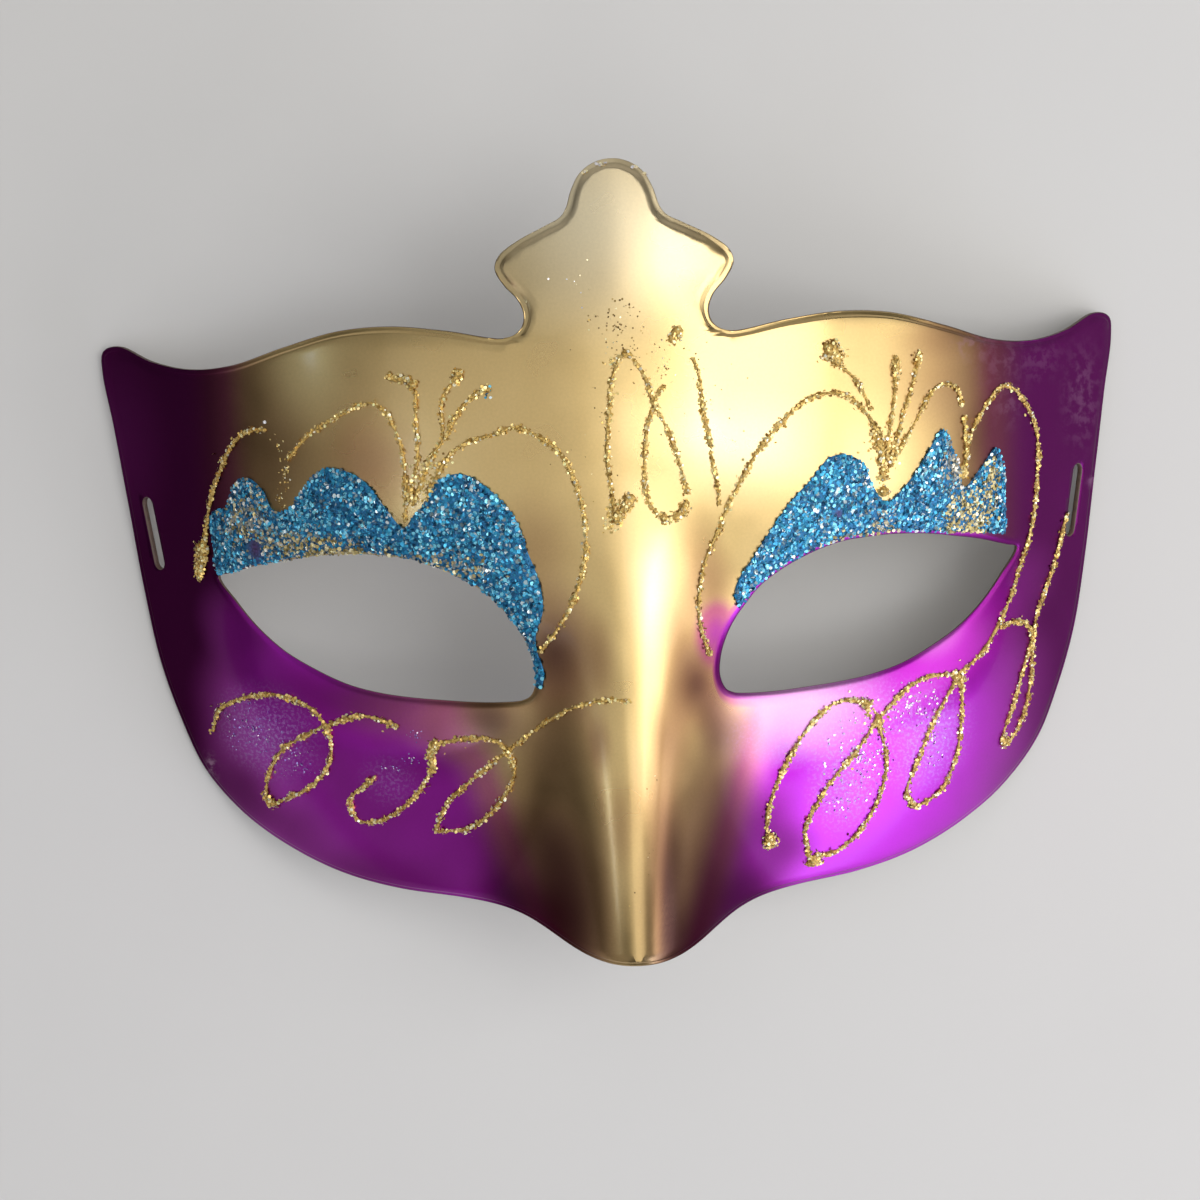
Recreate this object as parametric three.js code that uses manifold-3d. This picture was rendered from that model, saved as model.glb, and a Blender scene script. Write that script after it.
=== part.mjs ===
// Masquerade half mask: a formed and trimmed plastic sheet with blue glitter panels and gold glitter scrolls.
// Millimetres, +Z up. The mask lies face up, tilted as it rests by itself on its wing tips and cheeks.
// In the mask's own frame x runs to the right as seen from the front, y towards the crown, z out of the face.

import * as THREE from "three";
import { mergeVertices } from "three/addons/utils/BufferGeometryUtils.js";
import Module from "manifold-3d";

const wasm = await Module();
wasm.setup();

// Driving dimensions
const WALL = 0.9; // thickness of the plastic sheet
const GAP = 0.3; // clearance of the glitter from the sheet
const COAT = 0.5; // thickness of a blue glitter panel
const BEAD_HEIGHT = 0.6; // how far a gold line stands up
const WRAP = { radius: 88, flatFrom: 62 }; // the brow wraps the face, then runs straight to the wing tips
const BROW = { from: 18, radius: 140 }; // the brow and crown lean back above this line
const CHEEK = { from: -5, radius: 80 }; // the cheeks curve in below this line
const NOSE = { top: 26, tip: -45, rise: 20, growth: 1.6, halfTop: 9, halfTip: 15, taper: 1.2 };
const SOCKET = { x: 38, y: 0.5, halfX: 28, halfY: 20, depth: 3.5 }; // shallow dish round each eye
const FOLD = { from: 44, to: 54, slope: 0.06, round: 2 }; // soft ridge down the middle of the crown
const RIM = { width: 1.6, lowDrop: 0.5, topDrop: 1.4, from: 25, to: 40 }; // turned edge, deeper at the top
const LIP = { width: 1.2, drop: 0.7 }; // edge of the eye holes, turned back
const SLOT = { x: 73, y: 11.8, length: 11.5, width: 2.4, lean: 12, depth: 8 }; // strap slot, lean in degrees

// Fineness of the facets
const RIB_STEPS = 2; // cells from one rib to the next
const RING_ROWS = 5; // rows of cells between the lip and the rim
const CROWN_COLUMNS = [1, 0.9, 0.65, 0.35, 0]; // shares of the crown's half width
const PANEL_ROWS = 3; // rows of cells from the eye to a panel's top
const BEAD_STEP = 3.6; // length of a facet of a gold line
const BEAD_SIDES = 2; // facets on each flank of a gold line
const SLOT_SIDES = 5; // facets on each round end of a strap slot
const SLOPE_STEP = 0.1; // reach of the differences that give the slope of the face
const MERGE = 1e-3; // points closer than this are one
const SETTLE_ROUNDS = 12; // steps that find the resting tilt

// Ribs of one half, from the edge of the eye hole to the trimmed edge, the crown or the middle line
const RIBS = [
  { eye: [16.2, -7.7], edge: [0, -45.4] }, // nose tip
  { eye: [19, -8.1], edge: [8.5, -45] },
  { eye: [22.5, -8.35], edge: [17, -43.1] },
  { eye: [27, -8.45], edge: [26, -42.2] },
  { eye: [32, -8.5], edge: [36, -41.7] },
  { eye: [37, -8.25], edge: [45, -40.2] },
  { eye: [42, -7.4], edge: [54, -36.9] },
  { eye: [47, -5.6], edge: [61.5, -32.6] }, // lower cheek
  { eye: [51.5, -3.4], edge: [67.2, -26.8] },
  { eye: [55.5, -0.3], edge: [70.8, -18.6] },
  { eye: [59, 3.5], edge: [73.8, -9] },
  { eye: [61.6, 6.9], edge: [75.9, 3] }, // outer corner of the eye
  { eye: [60, 7.6], edge: [77.5, 15.5] },
  { eye: [58, 8.4], edge: [79.2, 28] },
  { eye: [56, 9.2], edge: [80.7, 36.5] },
  { eye: [54.6, 9.7], edge: [80.4, 39.6] }, // wing tip
  { eye: [53, 10.2], edge: [77.5, 40.7] },
  { eye: [50, 11], edge: [71.5, 39] },
  { eye: [46.5, 11.9], edge: [65, 38.5] },
  { eye: [43, 12.5], edge: [57.5, 39.8] },
  { eye: [39.5, 12.9], edge: [49, 43] },
  { eye: [36, 13], edge: [40.5, 45.7] },
  { eye: [32.5, 12.9], edge: [32.5, 46.6] }, // top of the brow
  { eye: [29, 12.2], edge: [24.5, 46.1] },
  { eye: [26, 11.2], edge: [16.2, 45] }, // notch beside the crown
  { eye: [23, 9.8], edge: [8.1, 45] },
  { eye: [20, 7.9], edge: [0, 45] }, // middle line from here down
  { eye: [17.8, 5.6], edge: [0, 31] },
  { eye: [15.9, 3.2], edge: [0, 19] },
  { eye: [14.5, 0.6], edge: [0, 8] },
  { eye: [13.7, -1.9], edge: [0, -3] },
  { eye: [13.5, -4.6], edge: [0, -16] },
  { eye: [14.3, -6.7], edge: [0, -31] },
  { eye: [15.4, -7.45], edge: [0, -43.8] }, // where the rim of the nose tip starts to turn
];
const NOTCH_RIB = 24;
const MIDDLE_RIB = 26;

// Sections of the crown, from the notch up
const CROWN = [
  { y: 45, half: 16.2 },
  { y: 45.6, half: 14.4 },
  { y: 46.6, half: 13.5 },
  { y: 48.2, half: 13.2 },
  { y: 50.2, half: 14 },
  { y: 52.2, half: 15.9 },
  { y: 54.4, half: 17.1 },
  { y: 56.2, half: 16.5 },
  { y: 58.2, half: 13.9 },
  { y: 60.2, half: 9.9 },
  { y: 61.4, half: 7.6 },
  { y: 62.6, half: 6.7 },
  { y: 65, half: 5.9 },
  { y: 67.2, half: 4.7 },
  { y: 68.5, half: 3.1 },
  { y: 69.2, half: 1.2 },
];

// Glitter panels: rib of the eye edge where a section starts, its distance from that edge, and its far end
const PANEL_LEFT = [
  { rib: 11.2, foot: 0.4, x: -62, y: 8.8 },
  { rib: 11.8, foot: 0.4, x: -61.6, y: 17.2 },
  { rib: 12.4, foot: 0.4, x: -59.4, y: 18.2 },
  { rib: 12.9, foot: 0.4, x: -57.8, y: 21.8 },
  { rib: 13.8, foot: 0.4, x: -55.4, y: 23.3 },
  { rib: 15, foot: 0.4, x: -53.1, y: 21.6 },
  { rib: 16, foot: 0.4, x: -51.7, y: 18.9 },
  { rib: 16.9, foot: 0.4, x: -49.4, y: 19.1 },
  { rib: 17.8, foot: 0.4, x: -46.8, y: 22.2 },
  { rib: 18.6, foot: 0.4, x: -44, y: 25.4 },
  { rib: 19.5, foot: 0.4, x: -41, y: 25.9 },
  { rib: 20.5, foot: 0.4, x: -37.3, y: 24.4 },
  { rib: 21.4, foot: 0.4, x: -34.3, y: 20.6 },
  { rib: 22.2, foot: 0.4, x: -31.7, y: 17.7 },
  { rib: 22.8, foot: 0.4, x: -30.2, y: 19.6 },
  { rib: 23.3, foot: 0.4, x: -28.3, y: 21.6 },
  { rib: 24, foot: 0.4, x: -26, y: 25 },
  { rib: 24.9, foot: 0.4, x: -23, y: 25.9 },
  { rib: 25.8, foot: 0.4, x: -19.6, y: 24.2 },
  { rib: 26.6, foot: 0.4, x: -15.6, y: 19.8 },
  { rib: 27.3, foot: 0.4, x: -14, y: 15 },
  { rib: 28, foot: 0.4, x: -12.3, y: 10 },
  { rib: 28.5, foot: 0.4, x: -12, y: 6 },
  { rib: 29, foot: 0.4, x: -13.1, y: 2.6 },
  { rib: 29.8, foot: 0.3, x: -13.1, y: 0.2 },
  { rib: 30.5, foot: 0.3, x: -12.2, y: -2.9 },
  { rib: 31.2, foot: 0.3, x: -12.5, y: -5.3 },
];
const PANEL_RIGHT = [
  { rib: 12.4, foot: 2, x: 59.2, y: 10.6 },
  { rib: 12.7, foot: 1.9, x: 59.1, y: 15 },
  { rib: 13, foot: 1.8, x: 58.8, y: 20 },
  { rib: 13.5, foot: 1.6, x: 57.5, y: 23.5 },
  { rib: 14.3, foot: 1.4, x: 55, y: 21.2 },
  { rib: 16.4, foot: 1, x: 51.7, y: 18.4 },
  { rib: 16.9, foot: 0.8, x: 50.6, y: 22.6 },
  { rib: 17.5, foot: 0.7, x: 48.1, y: 27.8 },
  { rib: 18.3, foot: 0.7, x: 45.6, y: 24.6 },
  { rib: 19.2, foot: 0.7, x: 42, y: 20.3 },
  { rib: 20.2, foot: 0.7, x: 38.9, y: 18.3 },
  { rib: 20.7, foot: 0.7, x: 36.9, y: 21 },
  { rib: 21.1, foot: 0.7, x: 35.5, y: 24.3 },
  { rib: 21.8, foot: 0.7, x: 33, y: 26 },
  { rib: 22.6, foot: 0.7, x: 30.2, y: 25.9 },
  { rib: 23.3, foot: 0.7, x: 27.6, y: 23.2 },
  { rib: 24.2, foot: 0.7, x: 24.3, y: 20.1 },
  { rib: 25, foot: 0.7, x: 21.3, y: 16.2 },
  { rib: 25.8, foot: 0.7, x: 18.5, y: 12.2 },
  { rib: 26.6, foot: 0.7, x: 16.4, y: 9.2 },
  { rib: 27.2, foot: 0.7, x: 15.8, y: 7 },
  { rib: 27.6, foot: 0.7, x: 16.2, y: 5.5 },
];

// Widths of the gold lines
const FINE = 1.1;
const LINE = 1.4;
const DAB = 2.6;

// Gold scrolls: each stroke has a width and the points that it runs through, and a scroll's strokes meet
const SCROLLS = {
  temple_curl_left: [
    stroke(DAB, [-65.8, 5.6], [-65.2, 11.4]),
    stroke(LINE, [-65.2, 10.5], [-63.4, 17], [-61.1, 22.4], [-58.4, 27], [-55, 30.2], [-51.8, 30.8]),
  ],
  brow_scroll_left: [
    stroke(FINE, [-50, 23.4], [-46.7, 29.1], [-41.1, 33.3], [-35.5, 35.6], [-32.2, 33], [-31.4, 27],
      [-31.3, 20]),
    stroke(LINE, [-31.1, 20.6], [-29.7, 26.5], [-29.1, 34.5], [-30, 39.2], [-32.7, 39.4]),
    stroke(LINE, [-30, 22.6], [-26.6, 27.5], [-25.3, 33], [-24.8, 37], [-23, 40.8]),
    stroke(LINE, [-28.9, 24], [-25.9, 28.2], [-22.7, 35], [-18.5, 37.6]),
    stroke(LINE, [-27.6, 26], [-20.7, 30.8], [-15, 32.5], [-9, 29.3], [-6.2, 22.5], [-5.6, 14.5], [-7.8, 7],
      [-11.2, 1.8]),
  ],
  cheek_scroll_left: [
    stroke(LINE, [-65, -19.2], [-63.3, -15], [-58, -11.5], [-52, -10.3], [-46.9, -12.3], [-44.8, -18],
      [-48.5, -24.4], [-56.4, -29.4]),
    stroke(FINE, [-56.4, -29.4], [-55.8, -24.3], [-52.4, -18.7], [-46, -14.2], [-40, -12.1], [-35, -12.6],
      [-29, -15.3]),
    stroke(LINE, [-29, -15.3], [-29.8, -20.3], [-33, -25], [-38, -28.9], [-41.4, -29.4], [-42.2, -26],
      [-38.2, -20.8], [-33, -18]),
    stroke(LINE, [-29, -15.3], [-23.5, -13.9], [-19, -14.3], [-17, -18], [-19, -23.4], [-24, -28.6],
      [-29.4, -29.8]),
    stroke(LINE, [-29.4, -29.8], [-27.4, -24.8], [-22.2, -19.4], [-16.8, -14.5], [-12.3, -10.5],
      [-7.9, -7.6], [-3.4, -6.2], [0, -6.3]),
  ],
  centre_scroll: [
    stroke(DAB, [-0.2, 18.2], [-0.1, 22]),
    stroke(LINE, [-1.4, 21], [-1.8, 27], [-1.8, 32], [-1, 39], [0.8, 42.6], [3.3, 40], [5.2, 36]),
    stroke(LINE, [6.4, 38], [4.4, 35], [3.4, 29], [3.3, 22.6], [5.4, 19.2], [8.9, 19.7]),
    stroke(LINE, [8.2, 19], [9.4, 22.5], [7.6, 30], [4.8, 36.9]),
  ],
  bridge_dot: [
    stroke(DAB, [7.6, 44.4], [9, 45.4]),
  ],
  bridge_line: [
    stroke(FINE, [10.4, 42.2], [11.6, 36.3], [12.5, 29], [13.4, 20.4]),
  ],
  scroll_right: [
    stroke(FINE, [11.7, -1.6], [10.5, 5], [11.3, 11.5], [14.2, 18.2], [18, 25.6], [22.2, 30.6],
      [27.5, 34.6], [32, 35]),
    stroke(LINE, [32, 35], [36, 31.8], [38.5, 27], [38.4, 20]),
    stroke(DAB, [29.4, 41.9], [32, 39.6]),
    stroke(LINE, [32, 39.6], [34.3, 36.7], [37.8, 29.6]),
    stroke(LINE, [41.5, 39.9], [40.2, 34.6], [39.7, 29], [38.8, 23.6]),
    stroke(LINE, [44.7, 39.9], [43.4, 35.7], [41.6, 30], [38.9, 22.4]),
    stroke(FINE, [39, 22.6], [42.8, 28.4], [47.6, 34.4], [50.3, 33.8], [51.8, 29], [52.3, 24.8],
      [51.8, 20]),
    stroke(LINE, [52.3, 24.8], [54.7, 28.9], [58.4, 32.5], [61.4, 31.3], [64.6, 26], [65.6, 20],
      [64.7, 11.2], [61.7, 2.2], [58.5, -4.5], [55.5, -8.2], [51.2, -11]),
    stroke(LINE, [71.2, 8.4], [68.5, 1.3], [66, -4.5], [64.5, -10]),
    stroke(FINE, [58.7, -5.2], [60.6, -4.7], [63.4, -5.6], [65, -9]),
    stroke(FINE, [64.8, -8.6], [62.3, -16.5], [60.1, -22.4], [60.8, -25]),
    stroke(FINE, [60.4, -24.6], [63.7, -20.8], [65, -15], [64.7, -8.2]),
    stroke(LINE, [51.8, -10.6], [46.5, -10.3], [42.3, -11.6], [37.6, -15]),
    stroke(LINE, [38, -15.6], [35, -12], [31, -11.5], [26.5, -14.8], [22.8, -20.9], [20.6, -27],
      [20.4, -30.6]),
    stroke(DAB, [20.5, -29.6], [20.7, -33.4]),
    stroke(LINE, [38, -14.4], [33.8, -20.2], [29.4, -25.3], [26.4, -31.8], [27.4, -37.8]),
    stroke(LINE, [26.8, -37.4], [32.6, -36.3], [37.2, -30.4], [39.3, -22.5], [37.4, -14.8]),
    stroke(LINE, [50.6, -10.8], [47.3, -16.6], [44.9, -22.6], [42.7, -28.2], [44.8, -32]),
    stroke(LINE, [44.4, -31.7], [48.7, -29.8], [51.2, -24], [52, -17.5], [51.4, -10.1]),
  ],
};

// Finishes
const goldPlastic = new THREE.MeshStandardMaterial({ color: 0xc9a75c, roughness: 0.35, metalness: 0.8 });
const blueGlitter = new THREE.MeshStandardMaterial({ color: 0x1f86c4, roughness: 0.55, metalness: 0.4 });
const goldGlitter = new THREE.MeshStandardMaterial({ color: 0xb88a2c, roughness: 0.5, metalness: 0.7 });

function stroke(width, ...through) {
  return { width, through };
}

// Outlines

function flat([x, y]) {
  return new THREE.Vector3(x, y, 0);
}

// A closed curve round the eye hole and the open curve of the trimmed edge, both counted in ribs
const eyeCurve = new THREE.CatmullRomCurve3(RIBS.map((rib) => flat(rib.eye)), true);
const beforeNose = flat(RIBS[1].edge).multiply(new THREE.Vector3(-1, 1, 1));
const beyondNotch = new THREE.Vector3(CROWN[1].half, CROWN[1].y, 0);
const freeEdge = RIBS.slice(0, NOTCH_RIB + 1).map((rib) => flat(rib.edge));
const edgeCurve = new THREE.CatmullRomCurve3([beforeNose, ...freeEdge, beyondNotch]);

function eyeAt(rib) {
  return eyeCurve.getPoint((rib / RIBS.length) % 1);
}

function edgeAt(rib) {
  if (rib <= NOTCH_RIB) {
    return edgeCurve.getPoint((rib + 1) / (NOTCH_RIB + 2));
  }
  const from = Math.floor(rib);
  const near = flat(RIBS[from].edge);
  const far = flat(RIBS[(from + 1) % RIBS.length].edge);
  return near.lerp(far, rib - from);
}

function samples(first, last, steps) {
  return Array.from({ length: steps + 1 }, (_, i) => first + ((last - first) * i) / steps);
}

const EYE_LOOP = samples(0, RIBS.length, RIBS.length * RIB_STEPS).map(eyeAt);
const EDGE_LOOP = [
  ...samples(0, NOTCH_RIB, NOTCH_RIB * RIB_STEPS).map(edgeAt),
  ...CROWN.slice(1).map((row) => new THREE.Vector3(row.half, row.y, 0)),
  new THREE.Vector3(0, CROWN.at(-1).y, 0),
];

function distanceTo(loop, x, y) {
  const point = new THREE.Vector3(x, y, 0);
  const segment = new THREE.Line3();
  const foot = new THREE.Vector3();
  let nearest = Infinity;
  for (let i = 1; i < loop.length; i += 1) {
    segment.set(loop[i - 1], loop[i]).closestPointToPoint(point, true, foot);
    nearest = Math.min(nearest, foot.distanceTo(point));
  }
  return nearest;
}

// Relief of the face

function wrapDepth(across) {
  const bent = Math.min(across, WRAP.flatFrom);
  const rise = Math.sqrt(WRAP.radius ** 2 - bent ** 2);
  return WRAP.radius - rise + (bent / rise) * (across - bent);
}

function leanDepth(distance, radius) {
  return Math.max(distance, 0) ** 2 / (2 * radius);
}

function noseHeight(across, y) {
  const along = THREE.MathUtils.clamp((NOSE.top - y) / (NOSE.top - NOSE.tip), 0, 1);
  const half = THREE.MathUtils.lerp(NOSE.halfTop, NOSE.halfTip, along);
  return NOSE.rise * along ** NOSE.growth * Math.exp(-NOSE.taper * (across / half) ** 2);
}

function socketDepth(across, y) {
  const inside = 1 - ((across - SOCKET.x) / SOCKET.halfX) ** 2 - ((y - SOCKET.y) / SOCKET.halfY) ** 2;
  return SOCKET.depth * Math.max(inside, 0) ** 2;
}

function foldDepth(across, y) {
  const ridge = Math.hypot(across, FOLD.round) - FOLD.round;
  return FOLD.slope * ridge * THREE.MathUtils.smoothstep(y, FOLD.from, FOLD.to);
}

function turnedEdge(loop, across, y, width, drop) {
  const inside = 1 - distanceTo(loop, across, y) / width;
  return drop * Math.max(inside, 0) ** 2;
}

function faceHeight(x, y) {
  const across = Math.abs(x);
  const high = THREE.MathUtils.smoothstep(y, RIM.from, RIM.to);
  const rimDrop = THREE.MathUtils.lerp(RIM.lowDrop, RIM.topDrop, high);
  return (
    noseHeight(across, y) -
    wrapDepth(across) -
    leanDepth(y - BROW.from, BROW.radius) -
    leanDepth(CHEEK.from - y, CHEEK.radius) -
    socketDepth(across, y) -
    foldDepth(across, y) -
    turnedEdge(EDGE_LOOP, across, y, RIM.width, rimDrop) -
    turnedEdge(EYE_LOOP, across, y, LIP.width, LIP.drop)
  );
}

function faceNormal(x, y) {
  const slopeX = (faceHeight(x + SLOPE_STEP, y) - faceHeight(x - SLOPE_STEP, y)) / (2 * SLOPE_STEP);
  const slopeY = (faceHeight(x, y + SLOPE_STEP) - faceHeight(x, y - SLOPE_STEP)) / (2 * SLOPE_STEP);
  return new THREE.Vector3(-slopeX, -slopeY, 1).normalize();
}

// Sheets: grids of flat points, raised to the relief and given a thickness

function gridTriangles(rows) {
  const triangles = [];
  for (let i = 1; i < rows.length; i += 1) {
    for (let j = 1; j < rows[i].length; j += 1) {
      const [a, b, c, d] = [rows[i - 1][j - 1], rows[i - 1][j], rows[i][j], rows[i][j - 1]];
      triangles.push([a, b, c], [a, c, d]);
    }
  }
  return triangles;
}

function mirrored(triangles) {
  const flip = new THREE.Vector3(-1, 1, 1);
  return triangles.map((corners) => corners.map((corner) => corner.clone().multiply(flip)));
}

// The turn of a triangle seen from the front: positive where it faces out
function turn([a, b, c]) {
  return (b.x - a.x) * (c.y - a.y) - (b.y - a.y) * (c.x - a.x);
}

function raisedSheet(triangles) {
  const facing = triangles.map(([a, b, c]) => (turn([a, b, c]) > 0 ? [a, b, c] : [a, c, b]));
  const points = facing.flat().map(({ x, y }) => new THREE.Vector3(x, y, faceHeight(x, y)));
  const sheet = mergeVertices(new THREE.BufferGeometry().setFromPoints(points), MERGE);
  sheet.computeVertexNormals();
  return sheet;
}

// The sheet between two offsets along its normals, closed by walls along its open edges
function thicken(sheet, low, high) {
  const place = sheet.getAttribute("position");
  const normal = sheet.getAttribute("normal");
  const count = place.count;
  const points = [low, high].flatMap((offset) =>
    Array.from({ length: count }, (_, i) =>
      new THREE.Vector3()
        .fromBufferAttribute(place, i)
        .addScaledVector(new THREE.Vector3().fromBufferAttribute(normal, i), offset),
    ),
  );
  const faces = [];
  const open = new Map();
  for (let f = 0; f < sheet.index.count; f += 3) {
    const [a, b, c] = [0, 1, 2].map((corner) => sheet.index.getX(f + corner));
    faces.push(a + count, b + count, c + count, a, c, b);
    for (const [from, to] of [[a, b], [b, c], [c, a]]) {
      if (!open.delete(`${to} ${from}`)) {
        open.set(`${from} ${to}`, [from, to]);
      }
    }
  }
  for (const [from, to] of open.values()) {
    faces.push(from, to, to + count, from, to + count, from + count);
  }
  return new THREE.BufferGeometry().setFromPoints(points).setIndex(faces);
}

// Solids for joining and cutting

function solidOf(geometry) {
  const bare = geometry.clone().deleteAttribute("normal").deleteAttribute("uv");
  const merged = mergeVertices(bare, MERGE);
  const mesh = new wasm.Mesh({
    numProp: 3,
    vertProperties: new Float32Array(merged.getAttribute("position").array),
    triVerts: new Uint32Array(merged.index.array),
  });
  return new wasm.Manifold(mesh);
}

function geometryOf(solid) {
  const mesh = solid.getMesh();
  return new THREE.BufferGeometry()
    .setAttribute("position", new THREE.BufferAttribute(mesh.vertProperties, 3))
    .setIndex(new THREE.BufferAttribute(mesh.triVerts, 1));
}

// The shell

function ringRow(rib) {
  const eye = eyeAt(rib);
  const edge = edgeAt(rib);
  const span = eye.distanceTo(edge);
  const inner = samples(LIP.width / span, 1 - RIM.width / span, RING_ROWS);
  return [0, ...inner, 1].map((share) => eye.clone().lerp(edge, share));
}

function halfRing() {
  const crownRibs = CROWN_COLUMNS.map((share) => NOTCH_RIB + (MIDDLE_RIB - NOTCH_RIB) * (1 - share));
  const ribs = [
    ...samples(0, NOTCH_RIB, NOTCH_RIB * RIB_STEPS),
    ...crownRibs.slice(1),
    ...samples(MIDDLE_RIB, RIBS.length, (RIBS.length - MIDDLE_RIB) * RIB_STEPS).slice(1, -1),
    0,
  ];
  return gridTriangles(ribs.map(ringRow));
}

function halfCrown() {
  return gridTriangles(
    CROWN.map((row) => CROWN_COLUMNS.map((share) => new THREE.Vector3(share * row.half, row.y, 0))),
  );
}

function slotCutter(side) {
  const halfWidth = SLOT.width / 2;
  const straight = SLOT.length / 2 - halfWidth;
  const outline = new THREE.Shape()
    .absarc(0, straight, halfWidth, 0, Math.PI)
    .absarc(0, -straight, halfWidth, Math.PI, 2 * Math.PI);
  const slope = (wrapDepth(SLOT.x + 1) - wrapDepth(SLOT.x)) * side;
  const across = new THREE.Vector3(1, 0, -slope).normalize();
  const out = new THREE.Vector3(slope, 0, 1).normalize();
  const seat = new THREE.Matrix4()
    .makeBasis(across, new THREE.Vector3(0, 1, 0), out)
    .setPosition(side * SLOT.x, SLOT.y, faceHeight(SLOT.x, SLOT.y));
  return new THREE.ExtrudeGeometry(outline, {
    depth: SLOT.depth,
    curveSegments: SLOT_SIDES,
    bevelEnabled: false,
  })
    .translate(0, 0, -SLOT.depth / 2)
    .rotateZ(THREE.MathUtils.degToRad(-side * SLOT.lean))
    .applyMatrix4(seat);
}

function shellGeometry() {
  const half = [...halfRing(), ...halfCrown()];
  const sheet = raisedSheet([...half, ...mirrored(half)]);
  let shell = solidOf(thicken(sheet, -WALL, 0));
  for (const side of [-1, 1]) {
    shell = shell.subtract(solidOf(slotCutter(side)));
  }
  return geometryOf(shell);
}

// A glitter panel, from the upper edge of an eye hole to its scalloped top
function panelGeometry(rows) {
  const top = new THREE.CatmullRomCurve3(rows.map((row) => flat([row.x, row.y])));
  const start = new THREE.CatmullRomCurve3(rows.map((row) => flat([row.rib, row.foot])));
  const side = new THREE.Vector3(Math.sign(rows[0].x), 1, 1);
  const sections = samples(0, 1, (rows.length - 1) * RIB_STEPS).map((share) => {
    const end = top.getPoint(share);
    const { x: rib, y: foot } = start.getPoint(share);
    const eye = eyeAt(rib).multiply(side);
    const low = foot / eye.distanceTo(end);
    return samples(low, 1, PANEL_ROWS).map((place) => eye.clone().lerp(end, place));
  });
  return thicken(raisedSheet(gridTriangles(sections)), GAP, GAP + COAT);
}

// A line drawn on the face: its frames keep the section of the bead upright on the surface
class FaceLine extends THREE.Curve {
  constructor(through) {
    super();
    this.plan = new THREE.CatmullRomCurve3(through.map(flat));
  }

  getPoint(share, target = new THREE.Vector3()) {
    const { x, y } = this.plan.getPoint(share);
    return target.set(x, y, faceHeight(x, y)).addScaledVector(faceNormal(x, y), GAP);
  }

  computeFrenetFrames(steps) {
    const places = samples(0, 1, steps).map((share) => this.getUtoTmapping(share));
    const tangents = places.map((share) => this.getTangent(share));
    const binormals = places.map((share, i) => {
      const { x, y } = this.plan.getPoint(share);
      return faceNormal(x, y).projectOnPlane(tangents[i]).normalize();
    });
    const normals = binormals.map((up, i) => up.clone().cross(tangents[i]));
    return { tangents, normals, binormals };
  }
}

function beadGeometry({ width, through }) {
  const line = new FaceLine(through);
  const section = new THREE.Shape().absellipse(0, 0, width / 2, BEAD_HEIGHT, 0, Math.PI);
  return new THREE.ExtrudeGeometry(section, {
    extrudePath: line,
    steps: Math.max(1, Math.round(line.getLength() / BEAD_STEP)),
    curveSegments: BEAD_SIDES,
  });
}

// Strokes that run into each other as one body, without the tiny bubbles that they close over where they meet
function scrollGeometry(strokes) {
  const joined = strokes.map((stroke) => solidOf(beadGeometry(stroke))).reduce((all, bead) => all.add(bead));
  const bodies = joined.decompose();
  return geometryOf(bodies.reduce((main, body) => (body.volume() > main.volume() ? body : main)));
}

// The mask, tilted until its wing tips and its cheeks both touch the table

function restingTilt(geometry) {
  const points = geometry.getAttribute("position");
  const place = new THREE.Vector3();
  let tilt = 0;
  for (let round = 0; round < SETTLE_ROUNDS; round += 1) {
    const lowest = { wing: new THREE.Vector3(0, 0, Infinity), cheek: new THREE.Vector3(0, 0, Infinity) };
    for (let i = 0; i < points.count; i += 1) {
      place.fromBufferAttribute(points, i);
      const touch = place.y > 0 ? lowest.wing : lowest.cheek;
      place.applyAxisAngle(new THREE.Vector3(1, 0, 0), tilt);
      if (place.z < touch.z) {
        touch.copy(place);
      }
    }
    tilt += Math.atan2(lowest.cheek.z - lowest.wing.z, lowest.wing.y - lowest.cheek.y);
  }
  return tilt;
}

function addPiece(group, name, geometry, material) {
  const piece = new THREE.Mesh(geometry, material);
  piece.name = name;
  group.add(piece);
}

function buildMask() {
  const mask = new THREE.Group();
  const shell = shellGeometry();
  addPiece(mask, "mask_shell", shell, goldPlastic);
  addPiece(mask, "glitter_panel_left", panelGeometry(PANEL_LEFT), blueGlitter);
  addPiece(mask, "glitter_panel_right", panelGeometry(PANEL_RIGHT), blueGlitter);
  for (const [name, strokes] of Object.entries(SCROLLS)) {
    addPiece(mask, name, scrollGeometry(strokes), goldGlitter);
  }
  mask.rotation.x = restingTilt(shell);
  const box = new THREE.Box3().setFromObject(mask, true);
  const centre = box.getCenter(new THREE.Vector3());
  mask.position.set(-centre.x, -centre.y, -box.min.z);
  return mask;
}

const part = new THREE.Group();
part.name = "masquerade_eye_mask";
part.add(buildMask());

export default part;
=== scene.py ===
"""Dresses a masquerade half mask: a sprayed plastic shell, blue glitter panels and gold glitter scrolls.

Sizes are millimetres in the mask's own frame, with x to the right as seen from the front, y towards the crown
and z out of the face. Rest.to_table lays the finished points on the table, in metres.
"""

from __future__ import annotations

import logging
import math
from collections.abc import Sequence
from dataclasses import dataclass
from enum import Enum, IntEnum
from functools import cached_property
from typing import NamedTuple

import bpy
import numpy as np
from mathutils import Euler, Matrix, Vector
from numpy.typing import NDArray


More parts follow.
